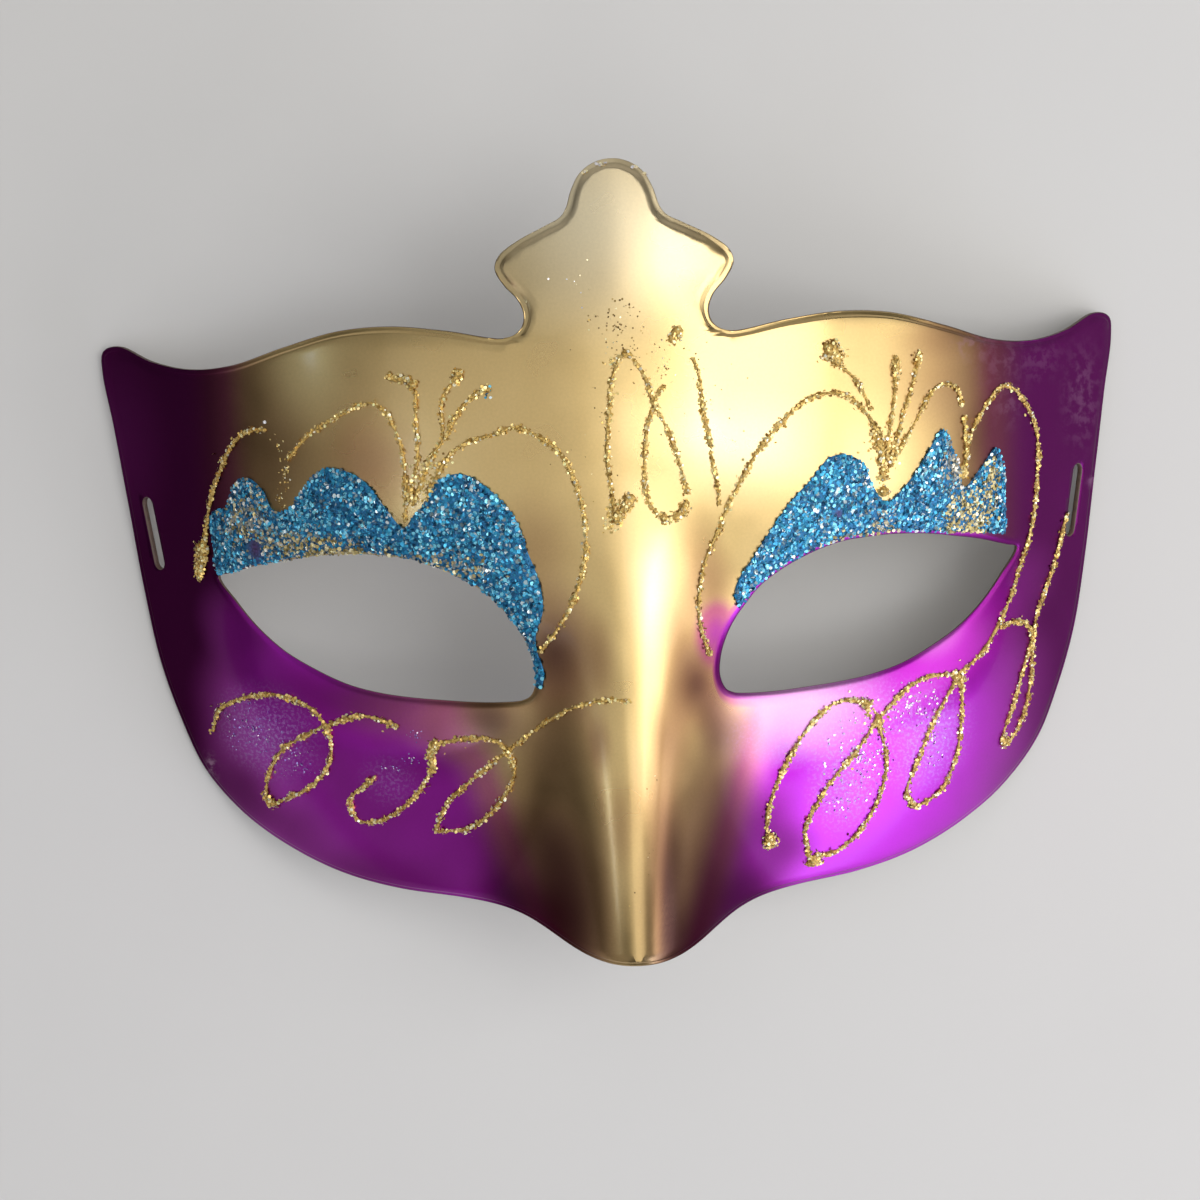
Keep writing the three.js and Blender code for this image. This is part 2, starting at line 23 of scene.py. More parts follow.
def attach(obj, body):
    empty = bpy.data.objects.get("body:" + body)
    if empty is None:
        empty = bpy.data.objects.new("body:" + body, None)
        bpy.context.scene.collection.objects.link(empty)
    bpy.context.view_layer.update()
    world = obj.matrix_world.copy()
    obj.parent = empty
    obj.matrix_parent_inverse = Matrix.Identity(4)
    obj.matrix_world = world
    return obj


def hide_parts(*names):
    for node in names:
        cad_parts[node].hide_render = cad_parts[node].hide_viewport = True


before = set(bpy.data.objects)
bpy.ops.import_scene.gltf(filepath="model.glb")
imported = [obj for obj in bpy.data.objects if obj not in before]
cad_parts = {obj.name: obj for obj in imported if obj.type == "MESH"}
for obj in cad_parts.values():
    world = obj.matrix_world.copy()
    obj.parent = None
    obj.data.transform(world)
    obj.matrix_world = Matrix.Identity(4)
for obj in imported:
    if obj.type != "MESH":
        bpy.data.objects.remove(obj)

Array = NDArray[np.float64]
Indices = NDArray[np.int64]
Colour = tuple[float, float, float]
Range = tuple[float, float]
Rng = np.random.Generator
Socket = bpy.types.NodeSocket
Material = bpy.types.Material
Piece = bpy.types.Object

LOG = logging.getLogger("mask")
BODY = "root"
MM = 0.001
WHITE = (1.0, 1.0, 1.0)
NO_POINTS = np.empty((0, 3))

# what counts as no length at all
TINY = 1e-9
# how many points are measured against an outline in one go
POINTS_AT_ONCE = 4000
# points are one when they agree to this many decimals of a millimetre
WELD_DECIMALS = 4
# how far a wall's two middle rows lie from its faces, as a share of its thickness
WALL_ROW = 0.2
FLAKE_CORNERS = 6
# how much darker or lighter a flake is than its tone
TONE_RANGE = (0.8, 1.2)
# the waves in a hand-drawn line: how many there are, and the range of their starts in radians
WAVE_COUNT = 4
WAVE_START = 6.3
# cloudy noise: its layers, how strong the finer ones are, its mean, and the spans that most of it falls in
GRAIN_DETAIL = 3.0
GRAIN_ROUGHNESS = 0.6
GRAIN_MIDDLE = 0.5
GRAIN_SPAN = (0.3, 0.7)
FLAKE_SPAN = (0.35, 0.65)
# where the random draws of the panels, the scrolls and the loose glitter start
PANEL_SEED = 11
SCROLL_SEED = 21
GRAIN_SEED = 41


class Rib(NamedTuple):
    """One rib of the sheet: where it leaves the eye hole, and where it meets the edge or the middle line."""

    eye_x: float
    eye_y: float
    edge_x: float
    edge_y: float


class CrownRow(NamedTuple):
    """One section of the crown: its height on the face and its half width."""

    y: float
    half: float


class PanelRow(NamedTuple):
    """One section of a glitter panel: its rib on the eye edge, its gap from there, and its far end."""

    rib: float
    foot: float
    x: float
    y: float


class Width(Enum):
    """Widths of the gold lines, in mm."""

    FINE = 0.66
    LINE = 0.8
    DAB = 1.6
    BLOB = 2.5


class Stroke(NamedTuple):
    """One pull of the glitter tube: its width and the points that it runs through."""

    width: Width
    through: tuple[tuple[float, float], ...]


class Spot(NamedTuple):
    """A soft oval on the face: its middle, its half sizes and its strength."""

    x: float
    y: float
    half_x: float
    half_y: float
    strength: float


class Patches(NamedTuple):
    """Where the blue of a panel is mixed with gold, is dulled, or is rubbed off."""

    gold: tuple[Spot, ...]
    dull: tuple[Spot, ...]
    bare: tuple[Spot, ...]


class Tone(NamedTuple):
    """A colour of glitter and its share among the flakes."""

    share: float
    colour: Colour


class Sprinkle(NamedTuple):
    """Grains that lie loose on the face: the oval that they fill, their number, colours and radii."""

    x: float
    y: float
    half_x: float
    half_y: float
    count: int
    tones: tuple[Tone, ...]
    size: Range


class ShellSide(IntEnum):
    """The numbers of the shell's finishes."""

    FRONT = 0
    BACK = 1
    EDGE = 2


class GlitterLayer(IntEnum):
    """The numbers of the finishes of a glitter piece."""

    BED = 0
    FLAKES = 1


class Mode(Enum):
    """How two colours are put together."""

    MIX = "MIX"
    MULTIPLY = "MULTIPLY"


def stroke(width: Width, *through: tuple[float, float]) -> Stroke:
    """Gathers the points of one stroke."""
    return Stroke(width, through)


def spots(*rows: tuple[float, float, float, float, float]) -> tuple[Spot, ...]:
    """Gathers soft ovals from their numbers."""
    return tuple(Spot(*row) for row in rows)


RIBS = tuple(Rib(*row) for row in (
    (16.2, -7.7, 0, -45.4), (19, -8.1, 8.5, -45), (22.5, -8.35, 17, -43.1), (27, -8.45, 26, -42.2),
    (32, -8.5, 36, -41.7), (37, -8.25, 45, -40.2), (42, -7.4, 54, -36.9), (47, -5.6, 61.5, -32.6),
    (51.5, -3.4, 67.2, -26.8), (55.5, -0.3, 70.8, -18.6), (59, 3.5, 73.8, -9), (61.6, 6.9, 75.9, 3),
    (60, 7.6, 77.5, 15.5), (58, 8.4, 79.2, 28), (56, 9.2, 80.7, 36.5), (54.6, 9.7, 80.4, 39.6),
    (53, 10.2, 77.5, 40.7), (50, 11, 71.5, 39), (46.5, 11.9, 65, 38.5), (43, 12.5, 57.5, 39.8),
    (39.5, 12.9, 49, 43), (36, 13, 40.5, 45.7), (32.5, 12.9, 32.5, 46.6), (29, 12.2, 24.5, 46.1),
    (26, 11.2, 16.2, 45), (23, 9.8, 8.1, 45), (20, 7.9, 0, 45), (17.8, 5.6, 0, 31), (15.9, 3.2, 0, 19),
    (14.5, 0.6, 0, 8), (13.7, -1.9, 0, -3), (13.5, -4.6, 0, -16), (14.3, -6.7, 0, -31),
    (15.4, -7.45, 0, -43.8),
))
NOTCH_RIB = 24
MIDDLE_RIB = 26

CROWN = tuple(CrownRow(*row) for row in (
    (45, 16.2), (45.6, 14.4), (46.6, 13.5), (48.2, 13.2), (50.2, 14), (52.2, 15.9), (54.4, 17.1),
    (56.2, 16.5), (58.2, 13.9), (60.2, 9.9), (61.4, 7.6), (62.6, 6.7), (65, 5.9), (67.2, 4.7),
    (68.5, 3.1), (69.2, 1.2), (69.3, 0),
))

PANEL_LEFT = tuple(PanelRow(*row) for row in (
    (11.2, 0.4, -62, 8.8), (11.8, 0.4, -61.6, 17.2), (12.4, 0.4, -59.4, 18.2), (12.9, 0.4, -57.8, 21.8),
    (13.8, 0.4, -55.4, 23.3), (15, 0.4, -53.1, 21.6), (16, 0.4, -51.7, 18.9), (16.9, 0.4, -49.4, 19.1),
    (17.8, 0.4, -46.8, 22.2), (18.6, 0.4, -44, 25.4), (19.5, 0.4, -41, 25.9), (20.5, 0.4, -37.3, 24.4),
    (21.4, 0.4, -34.3, 20.6), (22.2, 0.4, -31.7, 17.7), (22.8, 0.4, -30.2, 19.6),
    (23.3, 0.4, -28.3, 21.6), (24, 0.4, -26, 25), (24.9, 0.4, -23, 25.9), (25.8, 0.4, -19.6, 24.2),
    (26.6, 0.4, -15.6, 19.8), (27.3, 0.4, -14, 15), (28, 0.4, -12.3, 10), (28.5, 0.4, -12, 6),
    (29, 0.4, -13.1, 2.6), (29.8, 0.3, -13.1, 0.2), (30.5, 0.3, -12.2, -2.9), (31.2, 0.3, -12.5, -5.3),
))
PANEL_RIGHT = tuple(PanelRow(*row) for row in (
    (12.4, 2, 59.2, 10.6), (12.7, 1.9, 59.1, 15), (13, 1.8, 58.8, 20), (13.5, 1.6, 57.5, 23.5),
    (14.3, 1.4, 55, 21.2), (16.4, 1, 51.7, 18.4), (16.9, 0.8, 50.6, 22.6), (17.5, 0.7, 48.1, 27.8),
    (18.3, 0.7, 45.6, 24.6), (19.2, 0.7, 42, 20.3), (20.2, 0.7, 38.9, 18.3), (20.7, 0.7, 36.9, 21),
    (21.1, 0.7, 35.5, 24.3), (21.8, 0.7, 33, 26), (22.6, 0.7, 30.2, 25.9), (23.3, 0.7, 27.6, 23.2),
    (24.2, 0.7, 24.3, 20.1), (25, 0.7, 21.3, 16.2), (25.8, 0.7, 18.5, 12.2), (26.6, 0.7, 16.4, 9.2),
    (27.2, 0.7, 15.8, 7), (27.6, 0.7, 16.2, 5.5),
))
PANELS = {
    "glitter_panel_left": (
        PANEL_LEFT,
        Patches(
            gold=spots((-56, 17, 6, 7, 0.25), (-44, 13.6, 13, 3.2, 0.85), (-25, 12, 10, 3, 0.35)),
            dull=spots((-56, 17, 6, 8, 0.75), (-45, 13.6, 14, 4, 0.7), (-27, 12.6, 14, 3, 0.6)),
            bare=spots((-55, 12.6, 1.9, 3.4, 1.0)),
        ),
    ),
    "glitter_panel_right": (
        PANEL_RIGHT,
        Patches(
            gold=spots((52.5, 13.4, 6, 6.5, 1.3), (56.4, 18.6, 2.2, 5, 1.2), (36, 13.6, 8, 2, 0.4)),
            dull=spots((50, 22, 3.4, 6, 1.1), (38, 15.5, 4, 5, 0.6), (34, 12.6, 10, 2.5, 0.7)),
            bare=spots((31.5, 17.5, 0.9, 1.1, 1.0)),
        ),
    ),
}

SCROLLS: dict[str, tuple[Stroke, ...]] = {
    "temple_curl_left": (
        stroke(Width.BLOB, (-65.2, 5.7), (-64.5, 9), (-63.7, 12.4)),
        stroke(Width.LINE, (-63.8, 11.6), (-62.6, 16.5), (-61.3, 20.8), (-58.9, 26.3), (-56.3, 29.5),
               (-54.1, 30.6), (-51.9, 30.8)),
    ),
    "brow_scroll_left": (
        stroke(Width.FINE, (-48.9, 26.6), (-45.4, 30.5), (-41.6, 33), (-37.9, 35.1), (-35.6, 35.7),
               (-33.6, 34.4), (-32.3, 32.3), (-31.4, 29.8), (-31.2, 24.8), (-31.3, 20), (-31.5, 18.5)),
        stroke(Width.DAB, (-33.2, 39.7), (-31.9, 39.2), (-30.2, 39.2), (-29.1, 38)),
        stroke(Width.FINE, (-28.9, 37.8), (-29.2, 32.1), (-29.3, 27.5), (-30.2, 23.6), (-31.1, 20.8)),
        stroke(Width.DAB, (-22.3, 40.9), (-23.7, 38.7)),
        stroke(Width.FINE, (-23.7, 38.7), (-25.1, 36.6), (-25.4, 33.6), (-25.5, 30.7), (-27.2, 28),
               (-29, 24.3), (-30.4, 20.8)),
        stroke(Width.DAB, (-18.3, 38), (-19.8, 37.5)),
        stroke(Width.LINE, (-19.7, 37.6), (-21.8, 35.9), (-23.8, 33.4), (-25.2, 30.6)),
        stroke(Width.LINE, (-28.1, 20.9), (-27.9, 22.6), (-26.6, 25.1), (-24.7, 28.3), (-21.8, 30.3),
               (-18.1, 31.5), (-15, 32.5), (-9, 29.3), (-6.2, 22.5), (-5.6, 14.5), (-7.8, 7), (-9.7, 3.8)),
        stroke(Width.FINE, (-9.7, 3.8), (-11.4, 1.5), (-12.7, -0.2)),
    ),
    "cheek_scroll_left": (
        stroke(Width.LINE, (-65, -19.2), (-63.3, -15), (-58, -11.5), (-52, -10.3), (-46.9, -12.3),
               (-44.8, -18), (-48.5, -24.4), (-55, -29.2)),
        stroke(Width.DAB, (-56.3, -27.8), (-56.1, -29), (-54.6, -29.1)),
        stroke(Width.LINE, (-56.4, -28.6), (-55.8, -24.3), (-52.4, -18.7), (-46, -14.2)),
        stroke(Width.DAB, (-45.5, -13.4), (-45, -15.4)),
        stroke(Width.LINE, (-45.4, -13.8), (-40, -12.1), (-37, -12.1), (-34, -12.9)),
        stroke(Width.DAB, (-28.4, -14.4), (-29.5, -16.6), (-29.2, -19.4)),
        stroke(Width.LINE, (-29.2, -19), (-33, -25), (-38, -28.9), (-41.4, -29.4), (-42.2, -26),
               (-38.2, -21)),
        stroke(Width.LINE, (-29, -15.3), (-23.5, -13.9), (-19, -14.3), (-17, -18), (-19, -23.4),
               (-24, -28.6), (-29.4, -29.8)),
        stroke(Width.LINE, (-29.4, -29.8), (-27.4, -24.8), (-22.2, -19.4), (-16.8, -14.5)),
        stroke(Width.FINE, (-16.8, -14.5), (-12.3, -10.5), (-7.9, -7.6), (-3.4, -6.2), (0, -6.3)),
    ),
    "centre_scroll": (
        stroke(Width.BLOB, (-1, 18.4), (-0.7, 20.6)),
        stroke(Width.DAB, (-0.3, 20), (1.4, 22.6)),
        stroke(Width.LINE, (-1.5, 20.5), (-1.9, 27), (-1.8, 32), (-1, 39), (0.4, 42.3)),
        stroke(Width.DAB, (0.4, 42.5), (2, 42.2)),
        stroke(Width.LINE, (2.2, 41.8), (3.8, 38.9), (4.8, 35.6), (6.6, 31.5), (8.2, 26.8), (9.3, 22.4)),
        stroke(Width.DAB, (9.3, 21.4), (8.4, 19.7), (6.6, 19), (5.1, 19.5)),
        stroke(Width.LINE, (5, 19.6), (3.6, 21.8), (3.2, 27), (3.7, 32.3), (4.7, 34.8), (5.6, 37),
               (6.6, 37.9)),
    ),
    "bridge_dot": (
        stroke(Width.DAB, (7.4, 43.7), (8.1, 45.1), (9.3, 45.4)),
    ),
    "bridge_line": (
        stroke(Width.FINE, (10.5, 41.6), (11.2, 39.6), (11.5, 37.7)),
        stroke(Width.LINE, (11.4, 38), (12, 33), (12.8, 28.6)),
        stroke(Width.FINE, (12.8, 28.6), (13.3, 25), (13.6, 21.9), (13.5, 20.1)),
    ),
    "scroll_right": (
        stroke(Width.FINE, (11.7, -1.6), (10.5, 5), (11.3, 11.5), (14.2, 18.2)),
        stroke(Width.LINE, (14.2, 18.2), (18, 25.6), (22.2, 30.6), (27.5, 34.6), (32, 35), (36, 31.8),
               (37.8, 28.6)),
        stroke(Width.DAB, (37, 29.8), (38.4, 25.6), (38.5, 21.4)),
        stroke(Width.BLOB, (38.6, 20.8), (38.2, 19.2)),
        stroke(Width.BLOB, (29.6, 42), (30.9, 40.9), (32.1, 39)),
        stroke(Width.FINE, (32.2, 38.9), (34.3, 36.7), (36.6, 32)),
        stroke(Width.DAB, (40.8, 39.5), (40.6, 36.5)),
        stroke(Width.FINE, (40.6, 36.5), (40, 31), (39, 25)),
        stroke(Width.DAB, (44.7, 39.8), (44.1, 37.5)),
        stroke(Width.FINE, (44.1, 37.5), (43, 34), (41.6, 30), (39.3, 23.6)),
        stroke(Width.FINE, (39, 22.6), (42.8, 28.4), (47.6, 34.4), (50.3, 33.8), (51.6, 30.6)),
        stroke(Width.LINE, (51.8, 29.4), (52.1, 25), (52, 22)),
        stroke(Width.DAB, (52.1, 22.6), (51.5, 19.9)),
        stroke(Width.LINE, (52.3, 24.8), (54.7, 28.9), (58.4, 32.5), (61.4, 31.3), (64.6, 26), (65.6, 20),
               (64.7, 11.2), (61.7, 2.2), (58.5, -4.5), (55.5, -8.2), (51.2, -11)),
        stroke(Width.LINE, (71.6, 9.9), (68.5, 1.3), (66, -4.5), (64.9, -8)),
        stroke(Width.LINE, (58.7, -5.2), (60.6, -4.7), (63.4, -5.6), (64.6, -7.6)),
        stroke(Width.DAB, (64.5, -6.4), (65, -9.2)),
        stroke(Width.LINE, (64.8, -8.6), (62.3, -16.5), (60.1, -22.4), (59.8, -24)),
        stroke(Width.DAB, (59.6, -23.6), (60.4, -25), (61.7, -24.8)),
        stroke(Width.LINE, (61.2, -25), (62.2, -23.8), (63.7, -20.8), (65, -15), (64.7, -8.2)),
        stroke(Width.BLOB, (50.1, -10.8), (51.5, -11.4), (51.3, -12.8)),
        stroke(Width.LINE, (51.8, -10.6), (46.5, -10.3), (42.3, -11.6), (37.6, -15)),
        stroke(Width.DAB, (35, -11.8), (36.4, -13.2)),
        stroke(Width.DAB, (37.4, -14.4), (38.1, -16.4)),
        stroke(Width.LINE, (35.4, -12.2), (31, -11.5), (26.5, -14.8), (22.8, -20.9), (20.6, -27),
               (20.4, -30.6)),
        stroke(Width.BLOB, (20.5, -31.2), (21, -33.8)),
        stroke(Width.LINE, (38, -14.4), (33.8, -20.2), (29.4, -25.3), (26.4, -31.8), (27.4, -37)),
        stroke(Width.BLOB, (28.1, -37), (28, -38.6)),
        stroke(Width.LINE, (27.6, -37.2), (32.6, -36.3), (37.2, -30.4), (39.3, -22.5), (37.9, -15.6)),
        stroke(Width.LINE, (50.6, -11.6), (47.3, -16.6), (44.9, -22.6), (42.7, -28.2), (43.4, -30.4)),
        stroke(Width.DAB, (43.3, -29.8), (44.8, -31.9)),
        stroke(Width.LINE, (44.6, -31.8), (48.7, -29.8), (51.2, -24), (52, -17.5), (51.6, -11.6)),
    ),
}

BLUE_TONES = (
    Tone(0.25, (0.02, 0.22, 0.42)),
    Tone(0.24, (0.05, 0.40, 0.66)),
    Tone(0.19, (0.006, 0.065, 0.15)),
    Tone(0.19, (0.23, 0.70, 0.90)),
    Tone(0.06, (0.20, 0.29, 0.33)),
    Tone(0.07, (0.80, 0.96, 1.0)),
)
GOLD_TONES = (
    Tone(0.35, (0.78, 0.54, 0.16)),
    Tone(0.30, (0.90, 0.69, 0.27)),
    Tone(0.10, (0.40, 0.24, 0.06)),
    Tone(0.17, (0.98, 0.85, 0.42)),
    Tone(0.08, (1.0, 0.95, 0.70)),
)
KHAKI_TONES = (
    Tone(0.34, (0.52, 0.42, 0.17)),
    Tone(0.28, (0.70, 0.59, 0.29)),
    Tone(0.20, (0.22, 0.18, 0.07)),
    Tone(0.18, (0.93, 0.86, 0.56)),
)
DULL_TONES = (
    Tone(0.34, (0.30, 0.33, 0.33)),
    Tone(0.30, (0.48, 0.42, 0.28)),
    Tone(0.20, (0.16, 0.22, 0.26)),
    Tone(0.16, (0.82, 0.80, 0.72)),
)
SPECK_TONES = (
    Tone(0.50, (0.16, 0.10, 0.03)),
    Tone(0.32, (0.40, 0.27, 0.08)),
    Tone(0.18, (0.95, 0.84, 0.50)),
)
PEARL_TONES = (
    Tone(0.42, (0.48, 0.36, 0.80)),
    Tone(0.33, (0.34, 0.22, 0.70)),
    Tone(0.25, (0.85, 0.74, 0.94)),
)
PINK_TONES = (
    Tone(0.45, (0.95, 0.80, 0.96)),
    Tone(0.35, (0.85, 0.60, 0.93)),
    Tone(0.20, (0.78, 0.72, 0.96)),
)
CRUMB_TONES = (
    Tone(0.60, (0.86, 0.84, 0.86)),
    Tone(0.40, (0.92, 0.80, 0.50)),
)

GOLD_GRAINS = (
    Sprinkle(0, 46.4, 4.4, 3.8, 80, SPECK_TONES, (0.08, 0.17)),
    Sprinkle(6.5, 40.5, 5.5, 5, 46, SPECK_TONES, (0.07, 0.15)),
    Sprinkle(13.5, 36, 5, 10, 26, SPECK_TONES, (0.06, 0.13)),
    Sprinkle(-2, 33, 9, 14, 26, SPECK_TONES, (0.06, 0.12)),
    Sprinkle(2, -28, 5, 14, 12, SPECK_TONES, (0.06, 0.12)),
    Sprinkle(-28.4, 24.2, 2.6, 4.2, 80, GOLD_TONES, (0.14, 0.28)),
    Sprinkle(-26.2, 27.2, 2.4, 2.4, 30, GOLD_TONES, (0.12, 0.24)),
    Sprinkle(-49.4, 24.6, 1.0, 2.6, 34, GOLD_TONES, (0.09, 0.18)),
    Sprinkle(-50.2, 20.8, 0.9, 2.4, 26, GOLD_TONES, (0.08, 0.15)),
    Sprinkle(-50.3, 28.8, 1.3, 1.6, 14, GOLD_TONES, (0.08, 0.16)),
    Sprinkle(-52.1, 32, 0.2, 0.2, 3, CRUMB_TONES, (0.2, 0.28)),
    Sprinkle(38.7, 25.5, 2.6, 4.6, 70, GOLD_TONES, (0.13, 0.26)),
    Sprinkle(31, 40.6, 2.4, 2.4, 26, GOLD_TONES, (0.12, 0.24)),
    Sprinkle(20.7, -32.4, 1.2, 2.0, 40, GOLD_TONES, (0.14, 0.28)),
    Sprinkle(28, -37.8, 1.3, 1.6, 40, GOLD_TONES, (0.14, 0.28)),
    Sprinkle(36.4, -13.6, 1.6, 2.2, 40, GOLD_TONES, (0.14, 0.26)),
    Sprinkle(44.2, -31, 1.2, 1.4, 20, GOLD_TONES, (0.12, 0.24)),
    Sprinkle(-1.9, 18.9, 1.3, 2.6, 60, GOLD_TONES, (0.14, 0.28)),
    Sprinkle(-0.9, 41.4, 1.4, 1.1, 24, GOLD_TONES, (0.12, 0.24)),
    Sprinkle(-5.5, 52, 5, 6, 10, CRUMB_TONES, (0.08, 0.16)),
    Sprinkle(-18.6, 37.6, 1.3, 0.9, 8, BLUE_TONES, (0.16, 0.26)),
    Sprinkle(-4, 67.5, 0.6, 0.3, 7, CRUMB_TONES, (0.16, 0.3)),
    Sprinkle(-1.4, 68.5, 0.9, 0.3, 8, CRUMB_TONES, (0.16, 0.3)),
    Sprinkle(3.4, 68, 0.5, 0.3, 6, CRUMB_TONES, (0.16, 0.3)),
    Sprinkle(4.8, 67, 0.4, 0.3, 4, CRUMB_TONES, (0.14, 0.24)),
)
PEARL_GRAINS = (
    Sprinkle(-57.5, -16.8, 6, 5.5, 90, PEARL_TONES, (0.08, 0.18)),
    Sprinkle(-50.5, -21, 4, 4, 45, PEARL_TONES, (0.08, 0.17)),
    Sprinkle(-31.6, -14.2, 1.8, 1.2, 14, PEARL_TONES, (0.08, 0.15)),
    Sprinkle(-32.4, -17.7, 1.7, 0.9, 14, PEARL_TONES, (0.08, 0.15)),
    Sprinkle(-35.6, -19.7, 1.7, 0.9, 12, PEARL_TONES, (0.08, 0.15)),
    Sprinkle(34.9, -21, 6, 8, 120, PINK_TONES, (0.1, 0.24)),
    Sprinkle(43, -14, 6, 4, 80, PINK_TONES, (0.1, 0.22)),
    Sprinkle(47, -20, 3, 6, 40, PINK_TONES, (0.1, 0.2)),
    Sprinkle(31.5, -28, 3, 4, 24, PINK_TONES, (0.1, 0.2)),
)


def curve_through(points: Array, places: Array, closed: bool = False) -> Array:
    """Evaluates a smooth curve through points.

    Each stretch between two points is a cubic whose end slopes come from its neighbours, weighted by the
    square roots of the distances between the points. An open curve is carried on straight beyond its ends.

    Args:
        points: the points that the curve runs through, one per row.
        places: where to evaluate it, counted in points.
        closed: whether the last point joins the first.

    Returns:
        One row per place.
    """
    count = len(points)
    if closed:
        ring = np.vstack([points[-1:], points, points[:2]])
        start = np.floor(places).astype(int) % count
        part = places - np.floor(places)
    else:
        ring = np.vstack([2 * points[:1] - points[1:2], points, 2 * points[-1:] - points[-2:-1]])
        start = np.clip(np.floor(places).astype(int), 0, count - 2)
        part = places - start
    near = [ring[start + shift] for shift in range(4)]
    hops = [near[i + 1] - near[i] for i in range(3)]
    gaps = [np.sqrt(np.linalg.norm(hop, axis=1))[:, None] for hop in hops]
    step = hops[1]
    middle = np.maximum(gaps[1], TINY)
    before = np.where(gaps[0] < TINY, middle, gaps[0])
    after = np.where(gaps[2] < TINY, middle, gaps[2])
    leave = hops[0] / before - (near[2] - near[0]) / (before + middle) + step / middle
    reach = step / middle - (near[3] - near[1]) / (middle + after) + hops[2] / after
    leave = leave * middle
    reach = reach * middle
    t = part[:, None]
    return near[1] + leave * t + (3 * step - 2 * leave - reach) * t**2 + (leave + reach - 2 * step) * t**3


def smoothstep(low: float | Array, high: float | Array, value: Array) -> Array:
    """Rises smoothly from 0 at low to 1 at high, by the cubic 3t^2 - 2t^3."""
    t = np.clip((value - low) / (high - low), 0.0, 1.0)
    return t * t * (3 - 2 * t)


def distance_to(loop: Array, x: Array, y: Array) -> Array:
    """Finds the shortest distance from each point to a line of straight pieces.

    Args:
        loop: the corners of the line.
        x: where the points are, across.
        y: where the points are, along.

    Returns:
        One distance per point.
    """
    start = loop[:-1]
    along = loop[1:] - start
    length = np.maximum((along**2).sum(axis=1), TINY**2)
    nearest = np.empty(len(x))
    for some in np.array_split(np.arange(len(x)), max(1, len(x) // POINTS_AT_ONCE)):
        to_x = x[some, None] - start[:, 0]
        to_y = y[some, None] - start[:, 1]
        share = np.clip((to_x * along[:, 0] + to_y * along[:, 1]) / length, 0.0, 1.0)
        gap = (to_x - share * along[:, 0]) ** 2 + (to_y - share * along[:, 1]) ** 2
        nearest[some] = np.sqrt(gap.min(axis=1))
    return nearest


def unit(vectors: Array) -> Array:
    """Brings each row to length 1."""
    return vectors / np.maximum(np.linalg.norm(vectors, axis=1, keepdims=True), TINY)


def spread(ovals: Sequence[Spot], x: Array, y: Array) -> Array:
    """Lays soft ovals over each other.

    Each covers its strength times the square of one less the squared distance from its middle, counted in its
    half sizes. What shows through all of them is the product of what each leaves clear.

    Args:
        ovals: the ovals.
        x: where the points are, across.
        y: where the points are, along.

    Returns:
        How far each point is covered, from 0 to 1.
    """
    clear = np.ones(len(x))
    for spot in ovals:
        away = ((x - spot.x) / spot.half_x) ** 2 + ((y - spot.y) / spot.half_y) ** 2
        clear = clear * np.clip(1 - spot.strength * np.clip(1 - away, 0, 1) ** 2, 0, 1)
    return 1 - clear


def waves(run: Array, lengths: Range, rng: Rng) -> list[Array]:
    """Draws sine waves along a run, each with a length and a start of its own.

    Args:
        run: how far along each point is.
        lengths: the shortest and the longest wave, in mm for each radian.
        rng: the source of the random draws.

    Returns:
        The waves, each with one value per point.
    """
    return [np.sin(run / rng.uniform(*lengths) + rng.uniform(0, WAVE_START)) for _ in range(WAVE_COUNT)]


@dataclass(frozen=True)
class Rest:
    """How the mask lies: tilted about x until its wing tips and cheeks both touch the table."""

    tilt_deg: float = 10.8368
    shift_y: float = -11.828
    shift_z: float = 39.395

    def to_table(self, points: Array) -> Array:
        """Turns points about x by the tilt, shifts them and converts them to metres.

        Args:
            points: the points in the mask's own frame, in mm.

        Returns:
            The points on the table.
        """
        tilt = math.radians(self.tilt_deg)
        y = points[:, 1] * math.cos(tilt) - points[:, 2] * math.sin(tilt) + self.shift_y
        z = points[:, 1] * math.sin(tilt) + points[:, 2] * math.cos(tilt) + self.shift_z
        return np.stack([points[:, 0], y, z], axis=1) * MM


